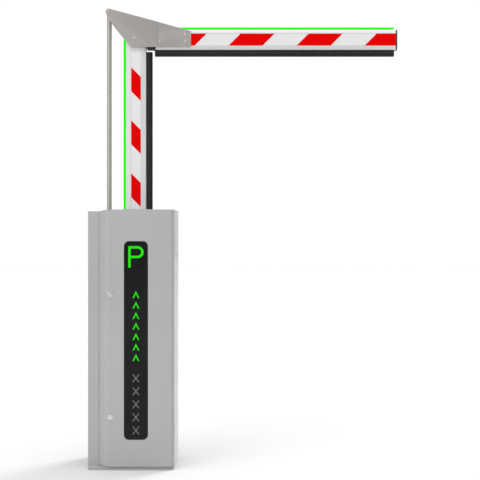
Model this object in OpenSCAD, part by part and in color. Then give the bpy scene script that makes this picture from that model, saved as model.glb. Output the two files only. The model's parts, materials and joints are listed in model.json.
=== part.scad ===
// Parking barrier gate with a folding boom, drawn raised.
// Millimetres. Origin at the middle of the anchor holes, on the ground.
// +X runs along the outer boom, -Y is the door side, +Z is up.

/* [Cabinet] */
// Width of the cabinet
cab_w = 342; // [300:1:420]
// Depth of the cabinet, from the door's face to the rear wall
cab_d = 300; // [290:1:370]
// Height of the cabinet at its raised crown
cab_h = 1020; // [960:1:1230]
// Height of the crown above the left strip
crown_h = 6; // [3:0.5:10]
// Thickness of the sheet steel
sheet = 2; // [1.5:0.1:2.4]
// Thickness of the base plate
base_t = 11; // [9:0.5:14]
// How far the base plate stands back from the cabinet's sides
base_inset = 4; // [2:0.5:8]
// Height of the seam between the cabinet's sides and its hood
seam_z = 827; // [790:1:850]
// Gap at seams and around the door
seam_gap = 0.8; // [0.5:0.1:1.2]
// Distance between the anchor holes, left to right
anchor_dx = 250; // [200:1:264]
// Distance between the anchor holes, front to back
anchor_dy = 200; // [160:1:220]
// Radius of an anchor hole
anchor_r = 9; // [6:0.5:10]
// Width of the cable entry in the base plate
entry_w = 120; // [80:1:140]
// Depth of the cable entry in the base plate
entry_d = 80; // [60:1:100]

/* [Door] */
// How far the door's face stands in front of the left strip
door_t = 35; // [30:1:42]
// Width of the left strip beside the door
strip_w = 43; // [36:1:52]
// Width of the door's slanted left side
slant_w = 32; // [24:1:38]
// Radius where the slant meets the door's face
slant_r = 22; // [10:1:28]
// Radius of the door's right corner
corner_r = 15; // [8:1:18]
// Distance from the ground to the door's lower edge
door_z = 13; // [12.5:0.5:16]
// Distance from the door's right side to its hinge axis
hinge_in = 7; // [7:0.2:9]
// Radius of a hinge knuckle
knuckle_r = 4.8; // [4:0.1:4.8]
// Radius of a hinge pin
hinge_pin_r = 2.5; // [2:0.1:3]
// Half the height of a hinge
hinge_half = 30; // [20:1:40]
// Distance of a lock from the door's left end
lock_in = 48; // [44:1:52]
// Radius of a lock's ring
lock_r = 10.5; // [8:0.5:13]
// Height of the upper lock
lock_top = 688; // [560:1:780]
// Height of the lower lock
lock_low = 207; // [160:1:300]

/* [Sign] */
// Middle of the sign window, right of the cabinet's middle
sign_x = 21; // [10:1:30]
// Width of the sign window
sign_w = 94; // [80:1:112]
// Height of the sign window
sign_h = 777; // [650:1:800]
// Height of the window's lower edge above the ground
sign_z = 119; // [100:1:140]
// Corner radius of the sign window
sign_r = 20; // [10:1:30]
// Number of lit chevrons
chevrons = 7; // [3:1:8]
// Distance between chevrons
chevron_step = 41; // [36:0.5:45]
// Number of unlit crosses
crosses = 5; // [2:1:5]
// Distance between crosses
cross_step = 51; // [44:0.5:53]
// Width of a chevron or a cross
mark_w = 26.6; // [20:0.2:36]

/* [Arm] */
// Distance of the main shaft left of the cabinet's middle
shaft_left = 13.6; // [8:0.2:20]
// Height of the main shaft
shaft_z = 880; // [860:1:890]
// Radius of the main shaft
shaft_r = 20; // [15:0.5:22]
// Length of the lower boom between its pivots
arm_len = 866; // [720:1:1040]
// Height of the boom's profile
boom_h = 85; // [72:1:102]
// Thickness of the boom's profile, front to back
boom_t = 45; // [38:1:54]
// Wall of the boom's profile
boom_wall = 2.5; // [2:0.1:3.5]
// Distance of the boom's middle line from its pivots
boom_off = 6; // [4:0.5:8]
// Gap between the cabinet's rear wall and the boom
boom_gap = 22; // [20:0.5:30]
// Reach of the outer boom from the elbow pivot
outer_len = 1094; // [900:1:1400]
// Distance of the tie rod's pivots to the left of the main pivots
rod_dx = 108; // [104:1:126]
// Height of the tie rod's pivots above the main pivots
rod_dz = 110; // [104:1:112]
// Outer radius of the tie rod
rod_r = 10; // [8:0.5:12]
// Width of the rubber bumper, out from the boom
rubber_w = 25.5; // [20:0.5:30]
// Thickness of the rubber bumper, front to back
rubber_t = 32; // [26:1:36]
// Thickness of the light strip, out from the boom
led_w = 8.5; // [6:0.5:12]
// Depth of the light strip, front to back
led_t = 14; // [10:1:20]
// Width of the printed band on the outer boom
band_w = 50; // [40:1:56]
// Width of the printed band on the lower boom
lower_band_w = 40; // [34:1:56]
// Thickness of the elbow plates
plate_t = 3; // [2.5:0.1:4]
// Clearance between the elbow plates and the lower boom
plate_gap = 4; // [3:0.1:5]
// Radius of the elbow pin
elbow_pin_r = 9; // [7:0.5:11]
// Running clearance on a radius
run = 0.05; // [0.02:0.01:0.08]

/* [Drive] */
// Radius at which the balance strap leaves the quadrant
strap_r = 80; // [70:1:84]
// Thickness of the balance strap
strap_t = 2; // [1.5:0.1:3]
// Radius of a balance spring
spring_r = 19; // [15:0.5:22]
// Length of a balance spring's body with the boom raised
spring_len = 430; // [380:1:440]
// Radius of the worm wheel
wheel_r = 45; // [38:0.5:46]
// Radius of the worm
worm_r = 16; // [12:0.5:18]
// Radius of the motor
motor_r = 44; // [38:1:48]
// Length of the motor
motor_len = 140; // [110:1:160]

/* [Hidden] */

$fn = 48;
e = 0.5; // overshoot of a cut

// Cabinet planes
x_left = -cab_w / 2;
x_right = cab_w / 2;
y_face = -cab_d / 2;
y_door = y_face + door_t; // back of the door, front of the left strip
gasket_room = 7.6; // from the door's back to the frame that the gasket closes on
y_frame = y_door + gasket_room;
y_rear = cab_d / 2;
y_wall = y_rear - sheet; // inside of the rear wall
hood_z = cab_h - crown_h; // top of the left strip
hood_screw_r = 2.5;
hood_screw_len = 4; // past the sheets
tongue = 20; // reach of the tongues behind the seam, up and down
deck_z = hood_z - sheet; // top of the shell under the hood
floor_rim = 26; // width of the floor flange inside the frame
wall_room = 6; // around the shaft and the stud where they pass the rear wall

// Door
door_x0 = x_left + strip_w + seam_gap;
slant_x = door_x0 + slant_w;
lip_w = 27; // inward lip around the door's back
open_x0 = door_x0 + 28; // opening of the frame
open_x1 = x_right - 62;
open_z0 = base_t + 34;
open_z1 = hood_z - 30;
gasket_w = 14;
gasket_gap = 4; // from the frame's opening to the gasket
gasket_t = gasket_room - 0.3;
hinge_x = x_right - hinge_in;
hinge_y = y_door;
hinge_zs = [150, cab_h / 2, cab_h - 150];
hinge_leaf_w = 24;
leaf_t = 2;
knuckle_gap = 0.3; // between the two knuckles of a hinge
hinge_room = 9; // depth of the door's recess around a hinge
lock_x = door_x0 + lock_in;
lock_zs = [lock_low, lock_top];
barrel_r = 8.5;
barrel_gap = 0.1; // around a barrel in the door
plug_r = 6;
barrel_end = y_frame - 3;
nut_r = barrel_r + 4;
nut_t = 5;
ring_t = 2; // how far a lock's ring stands out
slant_lean = atan2(door_t, slant_w); // angle of the slanted side
flat_x = slant_x + slant_r * tan(slant_lean / 2); // where the door's flat face begins
nut_reach = max(0, flat_x - lock_x + nut_r); // how far a nut reaches over the rounded part
inner_r = max(slant_r - sheet, nut_reach);
nut_gap = inner_r - sqrt(inner_r * inner_r - nut_reach * nut_reach) + 0.2; // clears that part
cam_gap = 0.6; // between the frame and a lock's tongue
cam_y = y_frame + sheet + cam_gap;
cam_t = 3;
cam_len = 36;
cam_w = 14;

// Sign
sign_proud = 0.4;
glass_t = 4;
sign_x0 = sign_x - sign_w / 2;
sign_top = sign_z + sign_h;
sign_fit = 0.4; // gap between the window and the door
sign_lap = 8; // how far the glass reaches behind the door's face
mark_t = 0.5; // thickness of a lit or unlit mark
mark_y = y_face - sign_proud;
board_t = 6;
driver_t = 9; // thickness of a driver block on the board
driver_w = 48;
driver_h = 60;
driver_step = 180;
drivers = 4;
letter_h = 84;
letter_w = 60;
letter_t = 9.4;
letter_z = sign_top - 19.5;
chevron_h = 27;
chevron_t = 5.2;
chevron_top = sign_top - 195.5;
cross_h = 32.5;
cross_t = 4;
cross_z = sign_z + 37;

// Main shaft and the planes of the drive, front to back
shaft_x = -shaft_left;
mech_t = 8;
y_mech = y_wall - mech_t; // front of the mechanism plate
bearing_w = 14;
y_bearing = y_mech - 20; // front of the rear bearing housing
housing_r = 42;
bearing_r = 32;
bore_gap = 4; // around the shaft where a part lets it through
seal_t = 3;
seal_gap = 0.6;
seal_lap = 12; // of the seal over the wall's opening
flange_t = 8; // flange of the rear bearing's housing
flange_half = 43;
flange_bolt = 35; // bolts of that flange, from the shaft
flange_bolt_r = 5.5;
y_quad = y_bearing - 38; // front of the quadrant
quad_t = 16;
quad_a0 = -12; // ends of the quadrant, measured downward from its left side
quad_a1 = 96;
swing = 90; // travel of the arm
bump_l = 14; // length of a stop bumper
bump_r = 9;
bump_in = 22; // from the strap's radius in to the bumpers
bump_gap = 0.4;
y_gear1 = y_quad - 20; // back of the gearbox
gear_d = 56;
y_gear0 = y_gear1 - gear_d;
gear_wall = 6;
y_gear_mid = y_gear1 - gear_d / 2;
gear_run = 0.3; // gap between worm and worm wheel
worm_x = shaft_x + wheel_r + worm_r + gear_run;
front_boss = 14;
y_shaft0 = y_gear0 - front_boss - 6;
gear_r = wheel_r + 4 + gear_wall;
gear_half_h = 60;
worm_half = 28;
worm_box = worm_r + 2 + gear_wall;
rotor_shaft_r = 7;
post_r = 8;
post_end_r = 4; // of a post's turned-down ends
post_depth = 10; // of the posts' holes in the gearbox
post_points = [for (z = [-50, 0, 50]) [worm_x + 12, shaft_z + z]];
motor_top = shaft_z - gear_half_h;
motor_z = motor_top - motor_len;
motor_wall = 14; // of the windings and the casing, around the rotor
motor_end = 12; // closed ends of the motor
wheel_top = shaft_z + gear_half_h + 8; // underside of the hand wheel

// Limit switches on the mechanism plate
switch_x = shaft_x - 17;
switch_drop = 150; // below the shaft
switch_w = 26;
switch_h = 28;
switch_d = 16;

// Arm planes, front to back
y_boom = y_rear + boom_gap; // front of the boom
y_boom1 = y_boom + boom_t;
y_mid = y_boom + boom_t / 2;
hub_t = 8;
hub_r = 42;
hub_gap = 4.5; // between the rear wall and the hub
bolt_head_r = 8.5;
bolt_head_h = 6;
clamp_plate_t = 5;
clamp_w = boom_h + 6;
clamp_up = 150;
clamp_down = 62;
clamp_bolt_r = 5;
clamp_zs = [-48, 48, 136];
clamp_row = 18; // from the boom's middle line to a row of bolts
elbow_z = shaft_z + arm_len;
boom_top = -boom_off + boom_h / 2; // boom's light side, from the pivot line
boom_low = -boom_off - boom_h / 2; // boom's rubber side, from the pivot line
margin_drop = 3.5; // how far the boom's faces lean back beside the printed band
corner = 5; // corner radius of the boom's profile
slot_w = 9; // mouth of the profile's slots
slot_in = 16; // width inside the profile's slots
slot_d = 7; // depth of the profile's slots
lip_t = 1.8; // lips of the profile's slots
groove = 1.4;
foot_t = slot_d - lip_t - 2.2; // thickness of a strip's foot
fit = 0.2; // gap around a strip's foot
lower_x1 = arm_len + 17;
lower_strip_x0 = clamp_up - 10; // between the clamp's two plates
lower_led_x1 = arm_len - 4;
lower_rubber_x1 = arm_len - 57;
outer_x0 = 88;
outer_rubber_x0 = 84.5;
cap_t = 6.6; // of the outer boom's end cap
root_cap_t = 4; // of the cap below the clamp
thin_cap_t = 3; // of the caps inside the elbow
lower_x0 = -clamp_down + root_cap_t;
led_round = 3;
rubber_round = 7;
rubber_wall = 3.5;
stripe_t = 0.4;
lower_stripe = [179.2, 100.5, 222, 3]; // start, length, step, count
outer_stripe = [134.4, 142.4, 284.8, 4];

// Elbow plates, from the elbow pivot
plate_end = 236;
bush_r = elbow_pin_r + 5;
bush_flange_r = elbow_pin_r + 9;
pin_head_t = 1.5;
plate_low = -38.5;
tip_r = 12.5;
plate_corner_r = 7;
plate_round_r = 28;
plate_round_x = -2; // middle of the plates' rounded lower corner
tip_bend = [4, -23, 8]; // a bend below the tip: its place from the tip, and its radius
fold_x = 95.5;
fold_z = 68.2;
fold_run = 8; // length of the joggle
end_z = 29;
screw_xs = [106, 212];
screw_zs = [-15.7, 13.8];
screw_r = 3.5;
pin_head_r = 6.5;
tip_pin_r = 5;
rod_eye_r = 13;
rod_eye_t = 18;
open_pivot = 0.5; // radial clearance of the tie rod's upper pivot
stop_x = [3.5 - boom_low, outer_x0 - thin_cap_t - 1.5]; // between the two booms
stop_z = [boom_low + 3, boom_low + 26.5];

// Tie rod's fixed stud
stud_x = shaft_x - rod_dx;
stud_z = shaft_z + rod_dz;
stud_r = 8;

// Balance springs
strap_x = shaft_x - strap_r + strap_t / 2;
strap_y = y_quad + quad_t / 2;
strap_w = 12;
spring_dx = 26; // from the strap to each spring
yoke_h = 14;
yoke_d = 20;
yoke_end = 12; // past each spring
hook_h = 16;
anchor_z = 104;
anchor_t = 8;
anchor_lip = 20; // past the springs, sideways and to the front
anchor_drop = 60; // of the anchor's foot down the wall
adjuster_r = 5;
adjuster_tail = 40; // of an adjuster below the anchor
eye_r = 8;
eye_t = 8;
eye_hole_r = 4;
spring_z0 = anchor_z + anchor_t + 26;
spring_z1 = spring_z0 + spring_len;
yoke_z = spring_z1 + hook_h;
spring_wire = 2.2;
hook_r = 6.5; // middle line of a spring's end loop
hook_wire = 1.8;
spring_pitch = 10;

// Equipment
panel_x0 = 2;
panel_x1 = min(150, x_right - sheet - 12);
panel_z0 = 150;
panel_z1 = 600;
panel_y = y_wall - 12;
panel_t = 2;
rail_zs = [250, 306]; // lower edges of the mounting rails
rail_h = 35;
rail_d = 7.5; // how far a rail stands out from the panel
rail_step = 1.5; // thickness of a rail's lips
rail_lip = 4;
rail_y = panel_y - rail_d; // front of the rails
breaker_w = 17.6;
breakers = 3;
terminal_w = 10;
terminals = 10;
control_z = [408, 590];
control_d = 46;
control_margin = 6; // from the control box to the panel's edges
supply_x = 76; // from the panel's edge to the power supply

// ---- helpers ----

module box(x, y, z) {
    translate([x[0], y[0], z[0]]) cube([x[1] - x[0], y[1] - y[0], z[1] - z[0]]);
}

// Round bar along Y
module rod_y(x, z, y0, y1, r, fn = 48) {
    translate([x, y0, z]) rotate([-90, 0, 0]) cylinder(h = y1 - y0, r = r, $fn = fn);
}

// Round bar along Z
module rod_z(x, y, z0, z1, r, fn = 48) {
    translate([x, y, z0]) cylinder(h = z1 - z0, r = r, $fn = fn);
}

// A flat shape drawn in X and Z, given thickness along Y
module slab_y(y0, y1) {
    translate([0, y1, 0]) rotate([90, 0, 0]) linear_extrude(y1 - y0) children();
}

// A flat shape drawn in Y and Z, given length along X
module slab_x(x0, x1) {
    translate([x0, 0, 0]) rotate([90, 0, 90]) linear_extrude(x1 - x0) children();
}

// Points of an arc
function arc(c, r, a0, a1, steps = 8) =
    [for (i = [0:steps]) let (a = a0 + (a1 - a0) * i / steps) c + r * [cos(a), sin(a)]];

// Tangent points on the outer side of two circles [x, z, r], taken anticlockwise
function outer_tangent(a, b) =
    let (d = norm([b[0] - a[0], b[1] - a[1]]),
        u = [b[0] - a[0], b[1] - a[1]] / d,
        v = [u[1], -u[0]],
        s = (a[2] - b[2]) / d,
        n = u * s + v * sqrt(1 - s * s))
    [[a[0], a[1]] + a[2] * n, [b[0], b[1]] + b[2] * n];

// A convex outline with a circle at each corner, taken anticlockwise
module rounded_outline(corners) {
    count = len(corners);
    polygon([for (i = [0:count - 1], p = outer_tangent(corners[i], corners[(i + 1) % count])) p]);
    for (c = corners) translate([c[0], c[1]]) circle(r = c[2]);
}

module round_rect(x, z, r) {
    rounded_outline([[x[0] + r, z[0] + r, r], [x[1] - r, z[0] + r, r],
        [x[1] - r, z[1] - r, r], [x[0] + r, z[1] - r, r]]);
}

module at_shaft() {
    translate([shaft_x, 0, shaft_z]) children();
}

// A ring around the main shaft
module shaft_ring(y0, y1, r_in, r_out) {
    difference() {
        rod_y(shaft_x, shaft_z, y0, y1, r_out);
        rod_y(shaft_x, shaft_z, y0 - e, y1 + e, r_in);
    }
}

// The booms' own frame: +X along the boom, +Z on its light side, pivot at the origin
module lower_frame() {
    translate([shaft_x, 0, shaft_z]) rotate([0, -90, 0]) children();
}

module outer_frame() {
    translate([shaft_x, 0, elbow_z]) children();
}

// ---- cabinet ----

module base_plate() {
    color([0.45, 0.46, 0.46])
    difference() {
        box([x_left + base_inset, x_right - base_inset], [y_face + base_inset, y_rear - base_inset],
            [0, base_t]);
        for (x = [-1, 1], y = [-1, 1])
            rod_z(x * anchor_dx / 2, y * anchor_dy / 2, -e, base_t + e, anchor_r);
        box([-entry_w / 2 + sign_x, entry_w / 2 + sign_x], [-entry_d / 2, entry_d / 2], [-e, base_t + e]);
    }
}

module cabinet_shell() {
    color([0.69, 0.70, 0.70])
    difference() {
        union() {
            // floor flange, left strip, rear wall and sides
            box([x_left, x_right], [y_frame, y_rear], [base_t, base_t + sheet]);
            box([x_left, x_left + strip_w], [y_door, y_frame + e], [base_t, base_t + sheet]);
            box([x_left, x_left + strip_w], [y_door, y_door + sheet], [base_t, deck_z]);
            box([x_left + strip_w - sheet, x_left + strip_w], [y_door, y_frame + sheet], [base_t, deck_z]);
            box([x_left, x_left + sheet], [y_door, y_rear], [base_t, seam_z]);
            box([x_left, x_left + sheet], [y_door, y_frame + sheet], [base_t, deck_z]);
            box([x_right - sheet, x_right], [y_frame, y_rear], [base_t, seam_z]);
            box([x_left, x_right], [y_wall, y_rear], [base_t, deck_z]);
            // front frame
            box([x_left + strip_w - sheet, x_right], [y_frame, y_frame + sheet], [base_t, deck_z]);
            // tongues behind the hood's sides
            for (x = [x_left + sheet, x_right - 2 * sheet])
                box([x, x + sheet], [y_frame + 2 * sheet, y_wall], [seam_z - tongue, seam_z + tongue]);
        }
        box([open_x0, open_x1], [y_frame - e, y_frame + sheet + e], [open_z0, open_z1]);
        // floor opening inside the flange
        box([x_left + floor_rim, x_right - floor_rim], [y_frame + floor_rim, y_wall - floor_rim],
            [base_t - e, base_t + sheet + e]);
        rod_y(shaft_x, shaft_z, y_wall - e, y_rear + e, shaft_r + wall_room);
        rod_y(stud_x, stud_z, y_wall - e, y_rear + e, stud_r + wall_room);
        hood_screw_holes();
    }
}

// The crown's outline across the cabinet: a shallow step above the left strip
module crown_outline(drop) {
    low = seam_z + seam_gap - (drop > 0 ? e : 0);
    polygon(concat(
        [[x_left + drop, low], [x_left + drop, hood_z - drop],
            [door_x0 + drop / 4, hood_z - drop]],
        arc([door_x0 + slant_w / 2 + drop / 4, hood_z + crown_h / 2 - drop], 1, 180, 90, 2),
        [[slant_x + drop / 4, cab_h - drop], [x_right - drop, cab_h - drop],
            [x_right - drop, low]]));
}

module top_hood() {
    color([0.69, 0.70, 0.70])
    difference() {
        slab_y(y_frame + sheet + seam_gap, y_rear) crown_outline(0);
        slab_y(y_frame, y_rear + e) crown_outline(sheet);
        // the shell's rear wall comes up inside the sides
        box([x_left + sheet, x_right - sheet], [y_frame, y_rear + e], [seam_z - e, seam_z + 10]);
        box([x_left - e, x_left + sheet + e], [y_wall - seam_gap, y_rear + e], [seam_z - e, deck_z]);
        box([x_right - sheet - e, x_right + e], [y_wall - seam_gap, y_rear + e], [seam_z - e, deck_z]);
        hood_screw_holes();
    }
    // front edge of the top, over the frame and the left strip
    color([0.69, 0.70, 0.70])
    difference() {
        union() {
            intersection() {
                slab_y(y_door + seam_gap, y_frame + sheet + seam_gap) crown_outline(0);
                union() {
                    box([x_left, hinge_x - hinge_in - 4], [y_door, y_rear], [deck_z, cab_h]);
                    box([x_left, x_right], [y_frame, y_rear], [deck_z, cab_h]);
                }
            }
            box([x_left, x_left + strip_w], [y_door, y_frame], [deck_z, hood_z]);
        }
        slab_y(y_frame + sheet, y_rear) crown_outline(sheet);
    }
}

module at_hood_screws() {
    for (side = [-1, 1], y = [y_frame + 2 * tongue, y_wall - 2 * tongue])
        translate([side * cab_w / 2, y, seam_z + 0.6 * tongue]) rotate([0, side * 90, 0]) children();
}

module hood_screws() {
    color([0.78, 0.78, 0.78])
    at_hood_screws() {
        cylinder(h = hood_screw_r, r = 2 * hood_screw_r);
        translate([0, 0, -2 * sheet - hood_screw_len])
            cylinder(h = 2 * sheet + hood_screw_len + 0.1, r = hood_screw_r);
    }
}

module hood_screw_holes() {
    at_hood_screws() translate([0, 0, -3 * sheet]) cylinder(h = 4 * sheet, r = hood_screw_r + 0.1);
}

module mechanism_plate() {
    color([0.55, 0.57, 0.58])
    difference() {
        box([stud_x - 28, worm_x + 40], [y_mech, y_wall], [shaft_z - 240, deck_z - 6]);
        rod_y(shaft_x, shaft_z, y_mech - e, y_wall + e, shaft_r + bore_gap);
        rod_y(stud_x, stud_z, y_mech - e, y_wall + e, stud_r);
        for (p = post_points) rod_y(p[0], p[1], y_mech - e, y_wall + e, post_end_r);
    }
}

module shaft_seal() {
    color([0.12, 0.12, 0.12])
    shaft_ring(y_rear, y_rear + seal_t, shaft_r + seal_gap, shaft_r + wall_room + seal_lap);
}

module bearing_housing() {
    color([0.35, 0.37, 0.38])
    difference() {
        union() {
            rod_y(shaft_x, shaft_z, y_bearing, y_mech, housing_r);
            slab_y(y_mech - flange_t, y_mech)
                round_rect([shaft_x - flange_half, shaft_x + flange_half],
                    [shaft_z - flange_half, shaft_z + flange_half], 10);
        }
        rod_y(shaft_x, shaft_z, y_bearing - e, y_mech + e, shaft_r + bore_gap);
        rod_y(shaft_x, shaft_z, y_bearing - e, y_bearing + bearing_w, bearing_r);
    }
    color([0.75, 0.75, 0.76])
    for (x = [-1, 1], z = [-1, 1])
        rod_y(shaft_x + x * flange_bolt, shaft_z + z * flange_bolt, y_mech - flange_t - flange_bolt_r,
            y_mech - flange_t, flange_bolt_r, 6);
}

module shaft_bearings() {
    color([0.80, 0.81, 0.82]) {
        shaft_ring(y_bearing, y_bearing + bearing_w, shaft_r + run, bearing_r);
        shaft_ring(y_gear0 - front_boss, y_gear0, shaft_r + run, bearing_r);
    }
}

module gearbox_housing() {
    color([0.42, 0.45, 0.47])
    difference() {
        union() {
            rod_y(shaft_x, shaft_z, y_gear0, y_gear1, gear_r);
            rod_y(shaft_x, shaft_z, y_gear0 - front_boss, y_gear0 + e, bearing_r + gear_wall);
            box([worm_x - worm_box, worm_x + worm_box], [y_gear0, y_gear1],
                [shaft_z - gear_half_h, shaft_z + gear_half_h]);
        }
        rod_y(shaft_x, shaft_z, y_gear0 + gear_wall, y_gear1 - gear_wall, wheel_r + 4);
        rod_y(shaft_x, shaft_z, y_gear0 - front_boss - e, y_gear0, bearing_r);
        rod_y(shaft_x, shaft_z, y_gear0 - e, y_gear1 + e, shaft_r + 3);
        rod_z(worm_x, y_gear_mid, shaft_z - worm_half - 2, shaft_z + worm_half + 2, worm_r + 2);
        rod_z(worm_x, y_gear_mid, shaft_z - gear_half_h - e, shaft_z + gear_half_h + e,
            rotor_shaft_r + run);
        for (p = post_points) rod_y(p[0], p[1], y_gear1 - post_depth, y_gear1 + e, post_end_r);
    }
}

module gearbox_posts() {
    color([0.70, 0.71, 0.72])
    for (p = post_points) {
        rod_y(p[0], p[1], y_gear1, y_mech, post_r);
        rod_y(p[0], p[1], y_gear1 - post_depth + 1, y_gear1 + e, post_end_r - 0.1);
        rod_y(p[0], p[1], y_mech - e, y_wall, post_end_r - 0.1);
    }
}

module motor_housing() {
    fin_t = 3;
    fin_h = 4;
    fins = 12;
    cap_h = 8;
    color([0.30, 0.34, 0.38])
    difference() {
        union() {
            rod_z(worm_x, y_gear_mid, motor_z, motor_top, motor_r - fin_h);
            rod_z(worm_x, y_gear_mid, motor_top - cap_h, motor_top, motor_r);
            rod_z(worm_x, y_gear_mid, motor_z, motor_z + cap_h, motor_r);
            for (i = [0:fins - 1]) translate([worm_x, y_gear_mid, motor_z]) rotate(i * 360 / fins)
                translate([motor_r - 2 * fin_h, -fin_t / 2, cap_h / 2])
                    cube([2 * fin_h, fin_t, motor_len - cap_h]);
        }
        rod_z(worm_x, y_gear_mid, motor_z + motor_end, motor_top - motor_end, motor_r - motor_wall);
        rod_z(worm_x, y_gear_mid, motor_z + motor_end / 2, motor_top + e, rotor_shaft_r + run);
    }
}

// Beside a straight edge of the quadrant, at an angle below its left side
module at_bumper(angle) {
    at_shaft() rotate([0, -angle, 0]) translate([bump_in - strap_r, 0, 0]) children();
}

module stop_bumpers() {
    for (side = [0, 1]) {
        a = side == 0 ? quad_a1 : quad_a0 - swing;
        s = side == 0 ? -1 : 1;
        bracket_t = 6;
        color([0.10, 0.10, 0.10])
        at_bumper(a) translate([0, strap_y, s * bump_gap]) rotate([s > 0 ? 0 : 180, 0, 0])
            cylinder(h = bump_l, r = bump_r);
        color([0.60, 0.61, 0.62])
        at_bumper(a) translate([0, 0, s * (bump_l + bump_gap)])
            box([-bump_r, bump_r], [strap_y - bump_r, y_mech], s > 0 ? [0, bracket_t] : [-bracket_t, 0]);
    }
}

module spring_anchor() {
    x_ends = [strap_x - spring_dx - anchor_lip, strap_x + spring_dx + anchor_lip];
    gusset_t = 6;
    color([0.55, 0.57, 0.58])
    difference() {
        union() {
            box(x_ends, [strap_y - anchor_lip, y_wall], [anchor_z, anchor_z + anchor_t]);
            box(x_ends, [y_wall - anchor_t, y_wall], [anchor_z - anchor_drop, anchor_z + e]);
            for (x = [x_ends[0], x_ends[1] - gusset_t]) slab_x(x, x + gusset_t)
                polygon([[y_wall - e, anchor_z - anchor_drop], [y_wall - e, anchor_z + e],
                    [strap_y - anchor_lip + 4, anchor_z + e]]);
        }
        for (s = [-1, 1])
            rod_z(strap_x + s * spring_dx, strap_y, anchor_z - e, anchor_z + anchor_t + e, adjuster_r + 0.2);
    }
}

// An eye that a spring hooks into
module spring_eye(r) {
    rotate([90, 0, 0]) difference() {
        cylinder(h = eye_t, r = r, center = true);
        cylinder(h = eye_t + 2 * e, r = eye_hole_r, center = true);
    }
}

module spring_adjusters() {
    color([0.80, 0.80, 0.80])
    for (s = [-1, 1]) translate([strap_x + s * spring_dx, strap_y, 0]) {
        rod_z(0, 0, anchor_z - adjuster_tail, spring_z0 - eye_r - adjuster_r + 1, adjuster_r);
        rod_z(0, 0, anchor_z - eye_t, anchor_z, adjuster_r + 4, 6);
        rod_z(0, 0, anchor_z + anchor_t, anchor_z + anchor_t + adjuster_r, adjuster_r + 4, 6);
        translate([0, 0, spring_z0 - eye_r]) spring_eye(eye_r);
    }
}

// Outline of half a closed coil spring: a wavy tube
module coil_section(len, r) {
    n = floor(len / spring_pitch);
    step = len / n;
    polygon(concat(
        [[r - 3 * spring_wire, 0]],
        [for (i = [0:n - 1], p = [[-spring_wire, 0.12], [0, 0.35], [0, 0.65], [-spring_wire, 0.88]])
            [r + p[0], (i + p[1]) * step]],
        [[r - 3 * spring_wire, len]]));
}

// The loop at a spring's end, through the eye below it
module spring_hook() {
    translate([0, 0, -2]) rotate([0, 90, 0]) rotate_extrude() translate([hook_r, 0])
        circle(r = hook_wire, $fn = 24);
    translate([-spring_r + spring_wire, 0, hook_r - 2]) rotate([0, 90, 0])
        cylinder(h = 2 * (spring_r - spring_wire), r = hook_wire, $fn = 24);
}

module balance_springs() {
    color([0.25, 0.26, 0.27])
    for (s = [-1, 1]) translate([strap_x + s * spring_dx, strap_y, spring_z0]) {
        rotate_extrude() coil_section(spring_len, spring_r);
        spring_hook();
        translate([0, 0, spring_len]) mirror([0, 0, 1]) spring_hook();
    }
}

module balance_strap() {
    color([0.50, 0.51, 0.52])
    box([strap_x - strap_t / 2, strap_x + strap_t / 2], [strap_y - strap_w / 2, strap_y + strap_w / 2],
        [yoke_z + yoke_h, shaft_z]);
}

module limit_switches() {
    color([0.15, 0.16, 0.17])
    for (s = [-1, 1]) {
        z = shaft_z - switch_drop + s * switch_h * 0.8;
        box([switch_x - switch_w / 2, switch_x + switch_w / 2], [y_mech - switch_d, y_mech],
            [z - switch_h / 2, z + switch_h / 2]);
        rod_y(switch_x, z, y_mech - 1.5 * switch_d, y_mech - switch_d + e, switch_d / 4);
    }
}

module tie_rod_stud() {
    color([0.78, 0.79, 0.80]) {
        rod_y(stud_x, stud_z, y_mech, y_mid + rod_eye_t / 2 + 1, stud_r);
        rod_y(stud_x, stud_z, y_rear, y_mid - rod_eye_t / 2 - 1, stud_r + 7);
        rod_y(stud_x, stud_z, y_mid + rod_eye_t / 2 + 1, y_mid + rod_eye_t / 2 + 8, stud_r + 5, 6);
        rod_y(stud_x, stud_z, y_mech - 8, y_mech, stud_r + 5, 6);
    }
}

module equipment_panel() {
    color([0.72, 0.73, 0.73]) {
        box([panel_x0, panel_x1], [panel_y, panel_y + panel_t], [panel_z0, panel_z1]);
        for (x = [panel_x0 + 12, panel_x1 - 12], z = [panel_z0 + 14, panel_z1 - 14])
            rod_y(x, z, panel_y + 1, y_wall, 5);
        for (z = rail_zs)
            slab_x(panel_x0 + 8, panel_x1 - 8)
                polygon([[panel_y + e, z], [rail_y + rail_step, z], [rail_y + rail_step, z - rail_lip],
                    [rail_y, z - rail_lip], [rail_y, z + rail_h + rail_lip],
                    [rail_y + rail_step, z + rail_h + rail_lip], [rail_y + rail_step, z + rail_h],
                    [panel_y + e, z + rail_h]]);
    }
}

module control_box() {
    front = panel_y - control_d;
    lid = 14; // from the box's edges to the recess in its lid
    slots = 8;
    color([0.82, 0.83, 0.83])
    difference() {
        slab_y(front, panel_y)
            round_rect([panel_x0 + control_margin, panel_x1 - control_margin], control_z, 6);
        slab_y(front - e, front + 2)
            round_rect([panel_x0 + control_margin + lid, panel_x1 - control_margin - lid],
                [control_z[0] + 2 * lid, control_z[1] - lid], 4);
        for (i = [0:slots - 1])
            translate([panel_x0 + control_margin + 16 + i * lid, front - e, control_z[0] - e])
                cube([9, 20, lid]);
    }
}

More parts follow.
